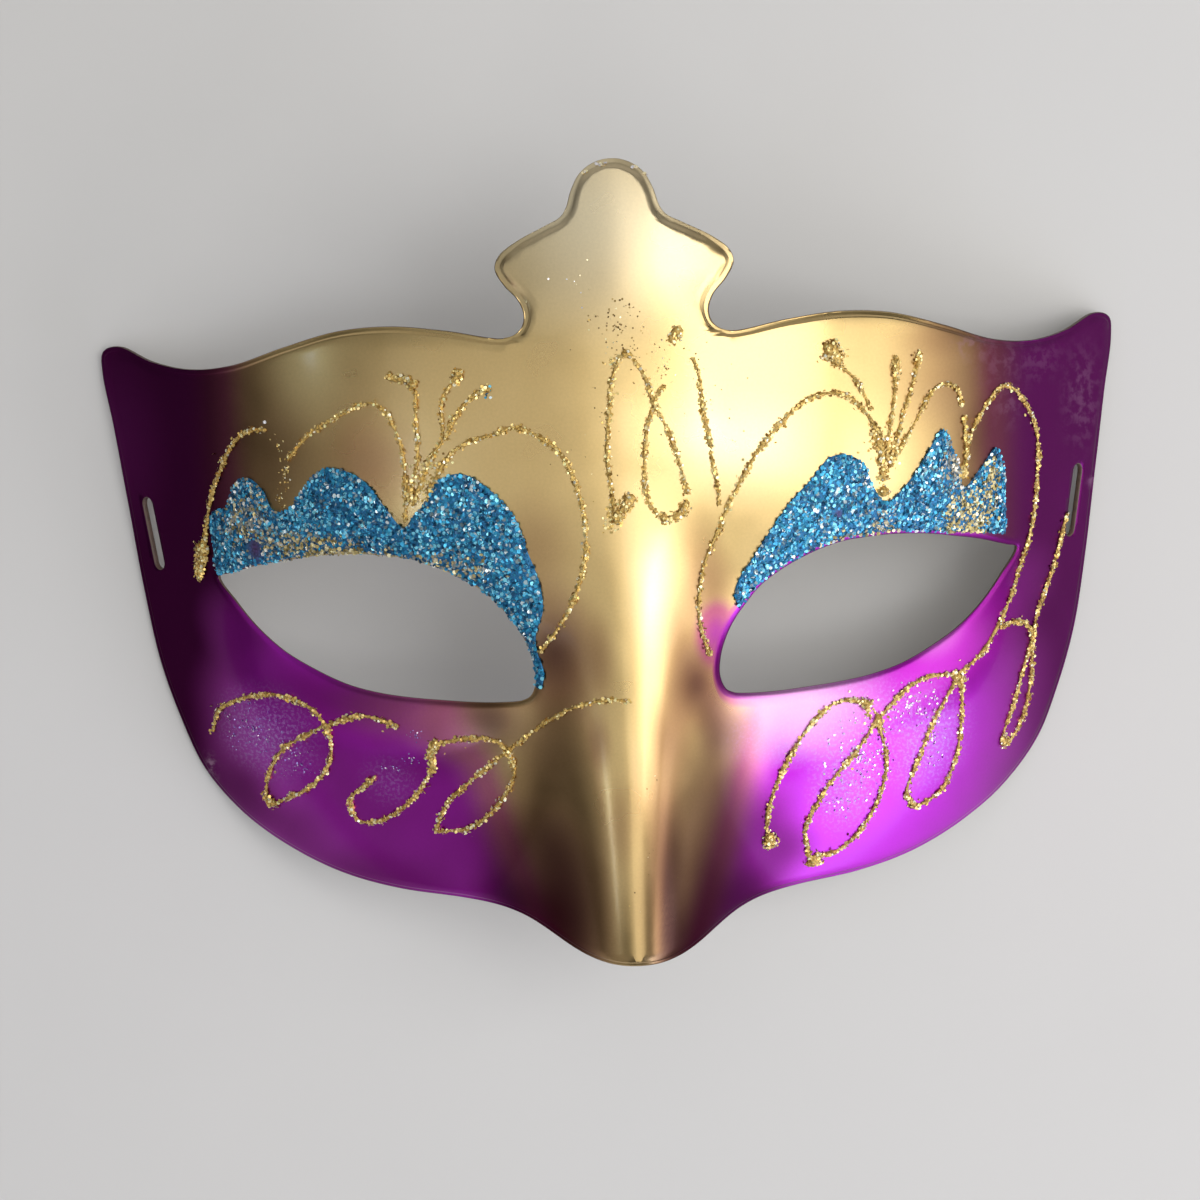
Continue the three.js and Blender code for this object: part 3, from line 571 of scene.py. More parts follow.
@dataclass(frozen=True)
class MaskForm:
    """Sizes of the formed sheet and the formulas of its relief."""

    wrap_radius: float = 88.0
    wrap_flat_from: float = 62.0
    brow_from: float = 18.0
    brow_radius: float = 140.0
    cheek_from: float = -5.0
    cheek_radius: float = 80.0
    nose_top: float = 26.0
    nose_tip: float = -45.0
    nose_rise: float = 20.0
    nose_growth: float = 1.6
    nose_half_top: float = 9.0
    nose_half_tip: float = 15.0
    nose_taper: float = 1.2
    nose_flatness: float = 2.3
    socket_x: float = 38.0
    socket_y: float = 0.5
    socket_half_x: float = 28.0
    socket_half_y: float = 20.0
    socket_depth: float = 3.5
    fold_from: float = 44.0
    fold_to: float = 54.0
    fold_slope: float = 0.06
    fold_round: float = 2.0
    rim_width: float = 0.9
    rim_crown_width: float = 1.25
    rim_crown_from: float = 45.0
    rim_crown_to: float = 50.0
    rim_low_drop: float = 0.4
    rim_top_drop: float = 0.42
    rim_from: float = 25.0
    rim_to: float = 40.0
    rim_step: float = 0.32
    rim_step_share: float = 0.7
    lip_width: float = 1.0
    lip_drop: float = 0.45
    outline_steps: int = 6
    slope_reach: float = 0.12

    @cached_property
    def eye_points(self) -> Array:
        """The points that the eye hole runs through."""
        return np.array([(rib.eye_x, rib.eye_y) for rib in RIBS], float)

    @cached_property
    def free_points(self) -> Array:
        """The points of the trimmed edge, with one beyond each end."""
        free = [(rib.edge_x, rib.edge_y) for rib in RIBS[: NOTCH_RIB + 1]]
        return np.array([(-RIBS[1].edge_x, RIBS[1].edge_y), *free, (CROWN[1].half, CROWN[1].y)], float)

    @cached_property
    def crown_points(self) -> Array:
        """The points of the crown's outline, with one beyond each end."""
        rows = [(row.half, row.y) for row in CROWN]
        before = (RIBS[NOTCH_RIB - 1].edge_x, RIBS[NOTCH_RIB - 1].edge_y)
        return np.array([before, *rows, (-CROWN[-2].half, CROWN[-2].y)], float)

    @cached_property
    def eye_loop(self) -> Array:
        """The eye hole's outline as short straight pieces."""
        return self.eye_at(np.linspace(0, len(RIBS), len(RIBS) * self.outline_steps + 1))

    @cached_property
    def edge_loop(self) -> Array:
        """The trimmed edge of one half as short straight pieces, from the nose tip to the crown's tip."""
        free = self.edge_at(np.linspace(0, NOTCH_RIB, NOTCH_RIB * self.outline_steps + 1))
        steps = (len(CROWN) - 1) * self.outline_steps
        return np.vstack([free, self.crown_at(np.linspace(0, len(CROWN) - 1, steps + 1))])

    def eye_at(self, ribs: Array) -> Array:
        """Gives the points of the eye hole at the given ribs."""
        return curve_through(self.eye_points, ribs, closed=True)

    def crown_at(self, rows: Array) -> Array:
        """Gives the points of the crown's outline, counted in its rows."""
        return curve_through(self.crown_points, rows + 1)

    def edge_at(self, ribs: Array) -> Array:
        """Gives the ribs' far ends: a curve along the trimmed edge, then straight to the middle and down it.

        Args:
            ribs: which ribs, counted in rows of their table.

        Returns:
            One plan point per rib.
        """
        curved = curve_through(self.free_points, np.minimum(ribs, NOTCH_RIB) + 1)
        corners = [*RIBS[NOTCH_RIB:], RIBS[0]]
        stops = np.arange(NOTCH_RIB, len(RIBS) + 1)
        straight_x = np.interp(ribs, stops, [rib.edge_x for rib in corners])
        straight_y = np.interp(ribs, stops, [rib.edge_y for rib in corners])
        straight = np.stack([straight_x, straight_y], axis=1)
        return np.where((ribs <= NOTCH_RIB)[:, None], curved, straight)

    def relief(self, x: Array, y: Array) -> Array:
        """Gives the broad relief: wrapped brow, curved cheeks, nose ridge, eye dishes and the crown's fold.

        The wrap is a circle that runs on straight, and brow and cheeks fall off with the square of the
        distance. The nose is a flat-topped bell curve across that grows with a power along. A dish is the
        square of an oval's inside, and the fold is a rounded slope to both sides of the crown.

        Args:
            x: where the points are, across.
            y: where the points are, along.

        Returns:
            One height per point.
        """
        across = np.abs(x)
        bent = np.minimum(across, self.wrap_flat_from)
        rise = np.sqrt(self.wrap_radius**2 - bent**2)
        wrap = self.wrap_radius - rise + bent / rise * (across - bent)
        brow = np.maximum(y - self.brow_from, 0) ** 2 / (2 * self.brow_radius)
        cheek = np.maximum(self.cheek_from - y, 0) ** 2 / (2 * self.cheek_radius)
        along = np.clip((self.nose_top - y) / (self.nose_top - self.nose_tip), 0, 1)
        half = self.nose_half_top + (self.nose_half_tip - self.nose_half_top) * along
        bell = np.exp(-self.nose_taper * (across / half) ** self.nose_flatness)
        nose = self.nose_rise * along**self.nose_growth * bell
        dish_x = (across - self.socket_x) / self.socket_half_x
        dish_y = (y - self.socket_y) / self.socket_half_y
        dish = self.socket_depth * np.maximum(1 - dish_x**2 - dish_y**2, 0) ** 2
        ridge = np.hypot(across, self.fold_round) - self.fold_round
        fold = self.fold_slope * ridge * smoothstep(self.fold_from, self.fold_to, y)
        return nose - wrap - brow - cheek - dish - fold

    def rim_at(self, y: Array) -> Array:
        """Gives the width of the turned rim, which is wider round the crown."""
        on_crown = smoothstep(self.rim_crown_from, self.rim_crown_to, y)
        return self.rim_width + (self.rim_crown_width - self.rim_width) * on_crown

    def height(self, x: Array, y: Array) -> Array:
        """Gives the height of the face: the relief less the turned rim and the turned lip of the eye hole.

        The rim drops in a short step and then slopes on to the edge. The lip drops with the square of its
        depth.

        Args:
            x: where the points are, across.
            y: where the points are, along.

        Returns:
            One height per point.
        """
        across = np.abs(x)
        high = smoothstep(self.rim_from, self.rim_to, y)
        drop = self.rim_low_drop + (self.rim_top_drop - self.rim_low_drop) * high
        into_rim = np.clip(1 - distance_to(self.edge_loop, across, y) / self.rim_at(y), 0, 1)
        step = smoothstep(0.0, self.rim_step, into_rim)
        rim = drop * (self.rim_step_share * step + (1 - self.rim_step_share) * into_rim)
        into_lip = np.clip(1 - distance_to(self.eye_loop, across, y) / self.lip_width, 0, 1)
        return self.relief(x, y) - rim - self.lip_drop * into_lip**2

    def normals(self, x: Array, y: Array) -> Array:
        """Gives the directions square to the face, from its slopes over a short reach.

        Args:
            x: where the points are, across.
            y: where the points are, along.

        Returns:
            One direction per point.
        """
        reach = self.slope_reach
        slope_x = (self.height(x + reach, y) - self.height(x - reach, y)) / (2 * reach)
        slope_y = (self.height(x, y + reach) - self.height(x, y - reach)) / (2 * reach)
        return unit(np.stack([-slope_x, -slope_y, np.ones(len(x))], axis=1))

    def on_face(self, plan: Array) -> Array:
        """Raises plan points to the face."""
        return np.column_stack([plan, self.height(plan[:, 0], plan[:, 1])])


@dataclass
class Facets:
    """Faces with the same number of corners and one finish, with their points and the points' own colours."""

    points: Array
    faces: Indices
    finish: int = 0
    smooth: bool = True
    tints: Array | None = None


def grid_faces(rows: int, columns: int, closed: bool = False) -> Indices:
    """Numbers the four-cornered cells of a grid of points.

    Args:
        rows: how many rows of points there are.
        columns: how many points a row has.
        closed: whether the last row joins the first.

    Returns:
        One row of four point numbers per cell.
    """
    first = np.arange(rows if closed else rows - 1)
    second = (first + 1) % rows
    column = np.arange(columns - 1)
    a = first[:, None] * columns + column
    b = second[:, None] * columns + column
    return np.stack([a, b, b + 1, a + 1], axis=-1).reshape(-1, 4)


def diagonals(points: Array, faces: Indices) -> tuple[Array, Array]:
    """Gives both diagonals of four-cornered faces."""
    corner = points[faces]
    return corner[:, 2] - corner[:, 0], corner[:, 3] - corner[:, 1]


def facing_out(plan: Array, faces: Indices) -> Indices:
    """Turns the faces that run clockwise as seen from the front.

    Args:
        plan: the points in plan.
        faces: the faces.

    Returns:
        The faces, all counter-clockwise.
    """
    one, other = diagonals(plan, faces)
    clockwise = one[:, 0] * other[:, 1] - one[:, 1] * other[:, 0] < 0
    return np.where(clockwise[:, None], faces[:, ::-1], faces)


def weld(plan: Array, faces: Indices) -> tuple[Array, Indices]:
    """Makes points that lie together one point, by rounding them."""
    _, keep, where = np.unique(np.round(plan, WELD_DECIMALS), axis=0, return_index=True, return_inverse=True)
    return plan[keep], where.reshape(-1)[faces]


def used_only(points: Array, faces: Indices) -> tuple[Array, Indices]:
    """Drops the points that no face uses."""
    used, where = np.unique(faces, return_inverse=True)
    return points[used], where.reshape(faces.shape)


def open_edges(faces: Indices) -> Indices:
    """Lists the edges that only one face has, in that face's direction.

    Args:
        faces: the faces.

    Returns:
        One row of two point numbers per edge.
    """
    starts = faces.reshape(-1)
    ends = np.roll(faces, -1, axis=1).reshape(-1)
    size = int(faces.max()) + 1
    lone = ~np.isin(starts * size + ends, ends * size + starts)
    return np.stack([starts[lone], ends[lone]], axis=1)


def point_normals(points: Array, faces: Indices) -> Array:
    """Averages the directions of the faces round each point, each face counting by its area.

    Args:
        points: the points.
        faces: the faces.

    Returns:
        One direction per point.
    """
    square = np.cross(*diagonals(points, faces))
    total = np.zeros_like(points)
    for side in range(faces.shape[1]):
        np.add.at(total, faces[:, side], square)
    return unit(total)


@dataclass(frozen=True)
class Sheet:
    """A sheet with a front, a back and a rounded trimmed edge, as three sets of faces on shared points."""

    points: Array
    front: Indices
    edge: Indices
    back: Indices


def thicken(front: Array, back: Array, faces: Indices, bulge: float) -> Sheet:
    """Closes a front and a back into one body.

    Along each open edge the wall passes through two more rows of points, a share of the thickness in from
    each face. Both faces are drawn in from the outline by the bulge, so that the trimmed edge is rounded.

    Args:
        front: the points of the front.
        back: the points of the back, in the same order.
        faces: the faces of the front, seen from outside.
        bulge: how far the wall stands out from both faces, in mm.

    Returns:
        The closed sheet.
    """
    count = len(front)
    edges = open_edges(faces)
    run = front[edges[:, 1]] - front[edges[:, 0]]
    away = np.zeros_like(front)
    out = np.cross(run, front[edges[:, 0]] - back[edges[:, 0]])
    np.add.at(away, edges[:, 0], out)
    np.add.at(away, edges[:, 1], out)
    border = np.unique(edges)
    number = np.full(count, -1)
    number[border] = np.arange(len(border))
    pull = unit(away[border]) * bulge
    upper = front[border] + (back - front)[border] * WALL_ROW
    lower = front[border] + (back - front)[border] * (1 - WALL_ROW)
    front = front.copy()
    back = back.copy()
    front[border] -= pull
    back[border] -= pull
    upper_row = number[edges] + 2 * count
    rows = [edges, upper_row, upper_row + len(border), edges + count]
    walls = [np.hstack([near[:, ::-1], far]) for near, far in zip(rows[:-1], rows[1:])]
    points = np.vstack([front, back, upper, lower])
    return Sheet(points, faces, np.vstack(walls), faces[:, ::-1] + count)


def hexagons(
    centres: Array, normals: Array, radii: Array, tints: Array, lean: float, rng: Rng, finish: int = 0
) -> Facets:
    """Lays out glitter flakes as hexagons.

    Each corner is the centre plus the radius along a direction that turns by sixths of a turn in the flake's
    own plane, and that plane leans from the surface by a random amount.

    Args:
        centres: the middle of each flake.
        normals: the surface's direction there.
        radii: the radius of each flake.
        tints: the colour of each flake.
        lean: how much the flakes lean, as the spread of the slope.
        rng: the source of the random draws.
        finish: the number of the flakes' finish.

    Returns:
        The flakes.
    """
    count = len(centres)
    square = unit(normals + lean * rng.standard_normal((count, 3)))
    first = unit(np.cross(square, rng.standard_normal((count, 3))))
    second = np.cross(square, first)
    turn = np.arange(FLAKE_CORNERS) * 2 * math.pi / FLAKE_CORNERS
    around = first[:, None] * np.cos(turn)[:, None] + second[:, None] * np.sin(turn)[:, None]
    points = centres[:, None] + radii[:, None, None] * around
    faces = np.arange(count * FLAKE_CORNERS).reshape(count, FLAKE_CORNERS)
    return Facets(points.reshape(-1, 3), faces, finish, False, np.repeat(tints, FLAKE_CORNERS, axis=0))


def draw_tones(tones: Sequence[Tone], count: int, rng: Rng) -> Array:
    """Draws colours for flakes by their shares, each a little lighter or darker.

    Args:
        tones: the colours to draw from.
        count: how many flakes there are.
        rng: the source of the random draws.

    Returns:
        One colour per flake.
    """
    shares = np.array([tone.share for tone in tones])
    colours = np.array([tone.colour for tone in tones])
    picked = colours[rng.choice(len(tones), count, p=shares / shares.sum())]
    return np.clip(picked * rng.uniform(*TONE_RANGE, (count, 1)), 0, 1)


def make_piece(
    name: str, parts: Sequence[Facets], finishes: Sequence[Material], values: dict[str, Array] | None = None
) -> Piece:
    """Joins sets of faces into one mesh object at the origin, with its place in its mesh.

    Args:
        name: the object's name.
        parts: the sets of faces; sets without points use those of the set before.
        finishes: the materials that the sets number.
        values: further numbers for each point, by name.

    Returns:
        The object, linked to the scene.
    """
    points: list[Array] = []
    tints: list[Array] = []
    faces: list[list[int]] = []
    finish: list[Indices] = []
    smooth: list[NDArray[np.bool_]] = []
    base = 0
    total = 0
    for part in parts:
        if len(part.points):
            base = total
            total += len(part.points)
            points.append(part.points)
            tints.append(np.ones((len(part.points), 3)) if part.tints is None else part.tints)
        faces.extend((part.faces + base).tolist())
        finish.append(np.full(len(part.faces), part.finish))
        smooth.append(np.full(len(part.faces), part.smooth))
    mesh = bpy.data.meshes.new(name)
    mesh.from_pydata(Rest().to_table(np.vstack(points)).tolist(), [], faces)
    mesh.polygons.foreach_set("material_index", np.concatenate(finish).astype(np.int32))
    mesh.polygons.foreach_set("use_smooth", np.concatenate(smooth))
    colours = np.column_stack([np.vstack(tints), np.ones(total)])
    tint = mesh.color_attributes.new("tint", "FLOAT_COLOR", "POINT")
    tint.data.foreach_set("color", colours.astype(np.float32).ravel())
    for key, numbers in (values or {}).items():
        mesh.attributes.new(key, "FLOAT", "POINT").data.foreach_set("value", numbers.astype(np.float32))
    for material in finishes:
        mesh.materials.append(material)
    mesh.update()
    piece = bpy.data.objects.new(name, mesh)
    bpy.context.scene.collection.objects.link(piece)
    return piece


def enter_frame(piece: Piece, node: str | None = None) -> None:
    """Makes a piece ride on the mask and stand for its node, and reports it.

    Args:
        piece: the piece.
        node: the solid that the piece replaces, if it does.
    """
    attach(piece, BODY)
    if node:
        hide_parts(node)
    LOG.info("%s: %d points, %d faces", piece.name, len(piece.data.vertices), len(piece.data.polygons))


class Grain(NamedTuple):
    """What the shared grain gives: its lumps, and a shade that varies about 1."""

    lump: Socket
    shade: Socket


class Painter:
    """Lays out the nodes of one material round a Principled surface."""

    def __init__(self, name: str) -> None:
        """Starts a material with its surface and its output.

        Args:
            name: the material's name.
        """
        self.material = bpy.data.materials.new(name)
        self.material.use_nodes = True
        self.tree = self.material.node_tree
        self.tree.nodes.clear()
        self.surface = self.tree.nodes.new("ShaderNodeBsdfPrincipled")
        output = self.tree.nodes.new("ShaderNodeOutputMaterial")
        self.tree.links.new(self.surface.outputs["BSDF"], output.inputs["Surface"])
        self.place = self.tree.nodes.new("ShaderNodeTexCoord").outputs["Object"]

    def set(self, **values: float | tuple[float, ...]) -> None:
        """Sets numbers and colours that are the same all over on the surface's own sockets."""
        for key, value in values.items():
            self.surface.inputs[key.replace("_", " ").title()].default_value = value

    def join(self, value: Socket, key: str) -> None:
        """Leads a value that changes over the surface to one of its sockets."""
        self.tree.links.new(value, self.surface.inputs[key])

    def put(self, target: Socket, value: Socket | float | tuple[float, ...]) -> None:
        """Links a socket to another one or sets its number.

        Args:
            target: the socket.
            value: the other socket, or the number or colour.
        """
        if isinstance(value, Socket):
            self.tree.links.new(value, target)
        else:
            target.default_value = value

    def math(self, operation: str, *terms: Socket | float) -> Socket:
        """Adds one step of arithmetic.

        Args:
            operation: the name of the step.
            terms: its terms, which are numbers or other steps.

        Returns:
            The result.
        """
        node = self.tree.nodes.new("ShaderNodeMath")
        node.operation = operation
        for socket, term in zip(node.inputs, terms):
            self.put(socket, term)
        return node.outputs[0]

    def blend(
        self, share: Socket | float, one: Socket | Colour, other: Socket | Colour, mode: Mode = Mode.MIX
    ) -> Socket:
        """Blends two colours by a share.

        Args:
            share: how much the second colour counts.
            one: the first colour.
            other: the second colour.
            mode: how they are put together.

        Returns:
            The blended colour.
        """
        node = self.tree.nodes.new("ShaderNodeMix")
        node.data_type = "RGBA"
        node.blend_type = mode.value
        self.put(node.inputs["Factor"], share)
        for key, value in (("A", one), ("B", other)):
            socket = next(s for s in node.inputs if s.name == key and s.type == "RGBA")
            self.put(socket, value if isinstance(value, Socket) else (*value, 1.0))
        return next(s for s in node.outputs if s.type == "RGBA")

    def ramp(self, value: Socket, span: Range, to: Range = (0.0, 1.0)) -> Socket:
        """Maps a range of values to another one, smoothly and with both ends held.

        Args:
            value: the value.
            span: the range that it is read in.
            to: the range that it is brought to.

        Returns:
            The mapped value.
        """
        node = self.tree.nodes.new("ShaderNodeMapRange")
        node.interpolation_type = "SMOOTHSTEP"
        for key, number in zip(("From Min", "From Max", "To Min", "To Max"), (*span, *to)):
            node.inputs[key].default_value = number
        self.put(node.inputs["Value"], value)
        return node.outputs["Result"]

    def attribute(self, key: str, kind: str = "Fac") -> Socket:
        """Reads what the mesh holds for each point.

        Args:
            key: the name that it is held under.
            kind: Fac for numbers, Color for colours.

        Returns:
            The numbers or colours.
        """
        node = self.tree.nodes.new("ShaderNodeAttribute")
        node.attribute_name = key
        return node.outputs[kind]

    def grain(self, size: float, contrast: float = 0.0) -> Grain:
        """Places the shared grain.

        Args:
            size: the size of its lumps, in mm.
            contrast: how far its shade varies about 1.

        Returns:
            Its lumps and its shade.
        """
        node = self.tree.nodes.new("ShaderNodeGroup")
        node.node_tree = grain_group()
        self.put(node.inputs["Place"], self.place)
        node.inputs["Lumps per metre"].default_value = 1 / (size * MM)
        node.inputs["Contrast"].default_value = contrast
        return Grain(node.outputs["Lump"], node.outputs["Shade"])

    def bump(self, height: Socket, depth: float, strength: float) -> None:
        """Roughens the surface by a height.

        Args:
            height: the height, from 0 to 1.
            depth: how deep it goes, in mm.
            strength: how much it shows.
        """
        node = self.tree.nodes.new("ShaderNodeBump")
        node.inputs["Strength"].default_value = strength
        node.inputs["Distance"].default_value = depth * MM
        self.put(node.inputs["Height"], height)
        self.join(node.outputs["Normal"], "Normal")

    def mottle(self, size: float, deep: Colour, pale: Colour, roughness: Range) -> Socket:
        """Mottles the surface between two colours and two roughnesses by one grain.

        Args:
            size: the size of the grain's lumps, in mm.
            deep: the colour between the lumps.
            pale: the colour of the lumps.
            roughness: the roughness between the lumps and on them.

        Returns:
            The lumps.
        """
        lump = self.grain(size).lump
        self.join(self.blend(lump, deep, pale), "Base Color")
        self.join(self.ramp(lump, GRAIN_SPAN, roughness), "Roughness")
        return lump

    def tinted(self, size: float, contrast: float, roughness: Range) -> Socket:
        """Takes the mesh's own colours, and shades and roughens them by one grain.

        Args:
            size: the size of the grain's lumps, in mm.
            contrast: how far the shade varies.
            roughness: the roughness between the lumps and on them.

        Returns:
            The lumps.
        """
        uneven = self.grain(size, contrast)
        colour = self.blend(1.0, self.attribute("tint", "Color"), uneven.shade, Mode.MULTIPLY)
        self.join(colour, "Base Color")
        self.join(self.ramp(uneven.lump, FLAKE_SPAN, roughness), "Roughness")
        return uneven.lump


def grain_group() -> bpy.types.NodeTree:
    """Builds the shared grain once: cloudy noise on the piece's place in plan, and the shade that it gives.

    The shade is 1 plus the contrast times the noise less its mean.

    Returns:
        The node group.
    """
    name = "spray grain"
    if name in bpy.data.node_groups:
        return bpy.data.node_groups[name]
    tree = bpy.data.node_groups.new(name, "ShaderNodeTree")
    sockets = (
        ("Place", "INPUT", "NodeSocketVector"),
        ("Lumps per metre", "INPUT", "NodeSocketFloat"),
        ("Contrast", "INPUT", "NodeSocketFloat"),
        ("Lump", "OUTPUT", "NodeSocketFloat"),
        ("Shade", "OUTPUT", "NodeSocketFloat"),
    )
    for key, way, kind in sockets:
        tree.interface.new_socket(key, in_out=way, socket_type=kind)
    entry = tree.nodes.new("NodeGroupInput")
    leave = tree.nodes.new("NodeGroupOutput")
    noise = tree.nodes.new("ShaderNodeTexNoise")
    noise.noise_dimensions = "2D"
    noise.inputs["Detail"].default_value = GRAIN_DETAIL
    noise.inputs["Roughness"].default_value = GRAIN_ROUGHNESS
    centred = tree.nodes.new("ShaderNodeMath")
    centred.operation = "SUBTRACT"
    centred.inputs[1].default_value = GRAIN_MIDDLE
    shade = tree.nodes.new("ShaderNodeMath")
    shade.operation = "MULTIPLY_ADD"
    shade.inputs[2].default_value = 1.0
    links = tree.links
    links.new(entry.outputs["Place"], noise.inputs["Vector"])
    links.new(entry.outputs["Lumps per metre"], noise.inputs["Scale"])
    links.new(noise.outputs["Fac"], centred.inputs[0])
    links.new(centred.outputs[0], shade.inputs[0])
    links.new(entry.outputs["Contrast"], shade.inputs[1])
    links.new(noise.outputs["Fac"], leave.inputs["Lump"])
    links.new(shade.outputs[0], leave.inputs["Shade"])
    return tree


@dataclass(frozen=True)
class SprayCoat:
    """Satin metallic spray, gold in the middle and purple on cheeks and wings, with wear, smears, painted
    shade and painted highlights.
    """

    gold: Colour = (0.69, 0.505, 0.225)
    gold_deep: Colour = (0.62, 0.445, 0.185)
    purple: Colour = (0.45, 0.014, 0.50)
    purple_deep: Colour = (0.38, 0.011, 0.42)
    # paler gold over the crown, and the colour of the painted highlights on the bridge and the right brow
    gold_pale_and_highlight: Colour = (0.70, 0.60, 0.40)
    # the smears' colour: pearly residue on both cheeks, and a painted sheen over the right cheek
    pearl_and_sheen: Colour = (0.55, 0.40, 0.82)
    scuffed: Colour = (0.36, 0.19, 0.32)
    # painted shade: the colour that the dark share blends to, and the dimmer rim reflection that it gives
    shadow: Colour = (0.018, 0.003, 0.009)
    shadow_rim: Colour = (0.45, 0.38, 0.42)
    rose: Colour = (0.57, 0.17, 0.29)
    rose_at: float = 0.45
    # painted shade: the reddish tint that the dark share passes through
    painted_shade_tint: Colour = (1.0, 0.72, 0.78)
    # painted highlight: pale pink over the right cheek
    painted_highlight: Colour = (0.80, 0.52, 0.70)
    lacquer: float = 0.4
    roughness: float = 0.29
    purple_satin: float = 0.05
    satin_spread: Range = (-0.02, 0.04)
    lacquer_roughness: float = 0.12
    fine_grain: float = 0.4
    fine_contrast: float = 0.15
    peel: float = 1.2
    peel_depth: float = 0.02
    peel_strength: float = 0.12
    cloud: float = 14.0
    ragged: float = 0.5
    ragged_share: float = 0.35
    blotch: float = 1.7
    smear_span: Range = (0.45, 0.68)
    smear_least: float = 0.2
    scuff_span: Range = (0.42, 0.66)
    worn_metal_loss: float = 0.7
    worn_roughness: float = 0.3

    def material(self) -> Material:
        """Mixes both colours by the sprayed weight, with painted highlights, painted shade, grain, smears and
        scuffs, under a thin lacquer.

        Returns:
            The material.
        """
        paint = Painter("spray_coat")
        paint.set(coat_roughness=self.lacquer_roughness)
        fine = paint.grain(self.fine_grain, self.fine_contrast)
        peel = paint.grain(self.peel)
        cloud = paint.grain(self.cloud)
        ragged = paint.grain(self.ragged)
        blotch = paint.grain(self.blotch)
        spray = paint.attribute("purple")
        edge = paint.math("MULTIPLY", paint.math("SUBTRACT", ragged.lump, GRAIN_MIDDLE), self.ragged_share)
        soft = paint.math("MULTIPLY", spray, paint.math("SUBTRACT", 1.0, spray))
        share = paint.math("MULTIPLY_ADD", soft, edge, spray)
        gold = paint.blend(cloud.lump, self.gold_deep, self.gold)
        # paler gold over the crown, which also stands for painted highlights on the bridge and the right brow
        gold = paint.blend(paint.attribute("pale"), gold, self.gold_pale_and_highlight)
        purple = paint.blend(cloud.lump, self.purple_deep, self.purple)
        coat = paint.blend(paint.ramp(share, (0.0, self.rose_at)), gold, self.rose)
        coat = paint.blend(paint.ramp(share, (self.rose_at, 1.0)), coat, purple)
        # painted highlight: pale pink over the right cheek
        coat = paint.blend(paint.attribute("painted_highlight"), coat, self.painted_highlight)
        # painted shade on the nose's flanks, the brow's ends, the wings and the lower cheeks: darker, redder
        # colour, a dimmer rim reflection and less lacquer
        painted_shade = paint.attribute("painted_shade")
        coat = paint.blend(1.0, coat, paint.blend(painted_shade, WHITE, self.painted_shade_tint), Mode.MULTIPLY)
        coat = paint.blend(painted_shade, coat, self.shadow)
        paint.join(paint.blend(painted_shade, WHITE, self.shadow_rim), "Specular Tint")
        paint.join(paint.math("MULTIPLY", paint.math("SUBTRACT", 1.0, painted_shade), self.lacquer), "Coat Weight")
        coat = paint.blend(1.0, coat, fine.shade, Mode.MULTIPLY)
        # pearly residue, which also stands for a painted sheen over the right cheek
        film = paint.ramp(ragged.lump, self.smear_span, (self.smear_least, 1.0))
        smear_and_sheen = paint.math("MULTIPLY", paint.attribute("residue_and_sheen"), film)
        coat = paint.blend(smear_and_sheen, coat, self.pearl_and_sheen)
        rubbed = paint.ramp(blotch.lump, self.scuff_span)
        scratch = paint.math("MULTIPLY", paint.attribute("scuff"), rubbed)
        coat = paint.blend(scratch, coat, self.scuffed)
        paint.join(coat, "Base Color")
        # metal and gloss lost under scuffs, residue and the painted sheen
        wear_and_sheen = paint.math("MAXIMUM", smear_and_sheen, scratch)
        paint.join(paint.math("MULTIPLY_ADD", wear_and_sheen, -self.worn_metal_loss, 1.0), "Metallic")
        smooth, rough = (self.roughness + change for change in self.satin_spread)
        satin = paint.ramp(cloud.lump, GRAIN_SPAN, (smooth, rough))
        satin = paint.math("MULTIPLY_ADD", spray, self.purple_satin, satin)
        paint.join(paint.math("MULTIPLY_ADD", wear_and_sheen, self.worn_roughness, satin), "Roughness")
        paint.bump(peel.lump, self.peel_depth, self.peel_strength)
        return paint.material


@dataclass(frozen=True)
class BarePlastic:
    """The unpainted back of the sheet, off-white."""

    plastic: Colour = (0.72, 0.69, 0.63)
    plastic_deep: Colour = (0.60, 0.57, 0.52)
    cloud: float = 6.0
    roughness: Range = (0.38, 0.5)
    pull: float = 0.4
    pull_depth: float = 0.02
    pull_strength: float = 0.3

    def material(self) -> Material:
        """Mottles the plastic and gives it a faint pulled grain.

        Returns:
            The material.
        """
        paint = Painter("bare_plastic")
        paint.mottle(self.cloud, self.plastic_deep, self.plastic, self.roughness)
        paint.bump(paint.grain(self.pull).lump, self.pull_depth, self.pull_strength)
        return paint.material


@dataclass(frozen=True)
class CutEdge:
    """The trimmed edge of the sheet, mottled dark brown."""

    brown: Colour = (0.15, 0.09, 0.065)
    brown_deep: Colour = (0.05, 0.03, 0.028)
    nick: float = 0.8
    nick_depth: float = 0.1
    nick_strength: float = 0.5
    roughness: Range = (0.4, 0.6)

    def material(self) -> Material:
        """Mottles the cut along its length and leaves it ragged.

        Returns:
            The material.
        """
        paint = Painter("cut_edge")
        nicks = paint.mottle(self.nick, self.brown_deep, self.brown, self.roughness)
        paint.bump(nicks, self.nick_depth, self.nick_strength)
        return paint.material


@dataclass(frozen=True)
class GlitterFlakes:
    """Cut metallic film: each flake has its own colour."""

    name: str
    metallic: float = 0.5
    grain: float = 0.6
    contrast: float = 0.5
    roughness: Range = (0.22, 0.42)

    def material(self) -> Material:
        """Reads each flake's colour from the mesh and dulls some flakes more than others.

        Returns:
            The material.
        """
        paint = Painter(self.name)
        paint.tinted(self.grain, self.contrast, self.roughness)
        paint.set(metallic=self.metallic)
        return paint.material


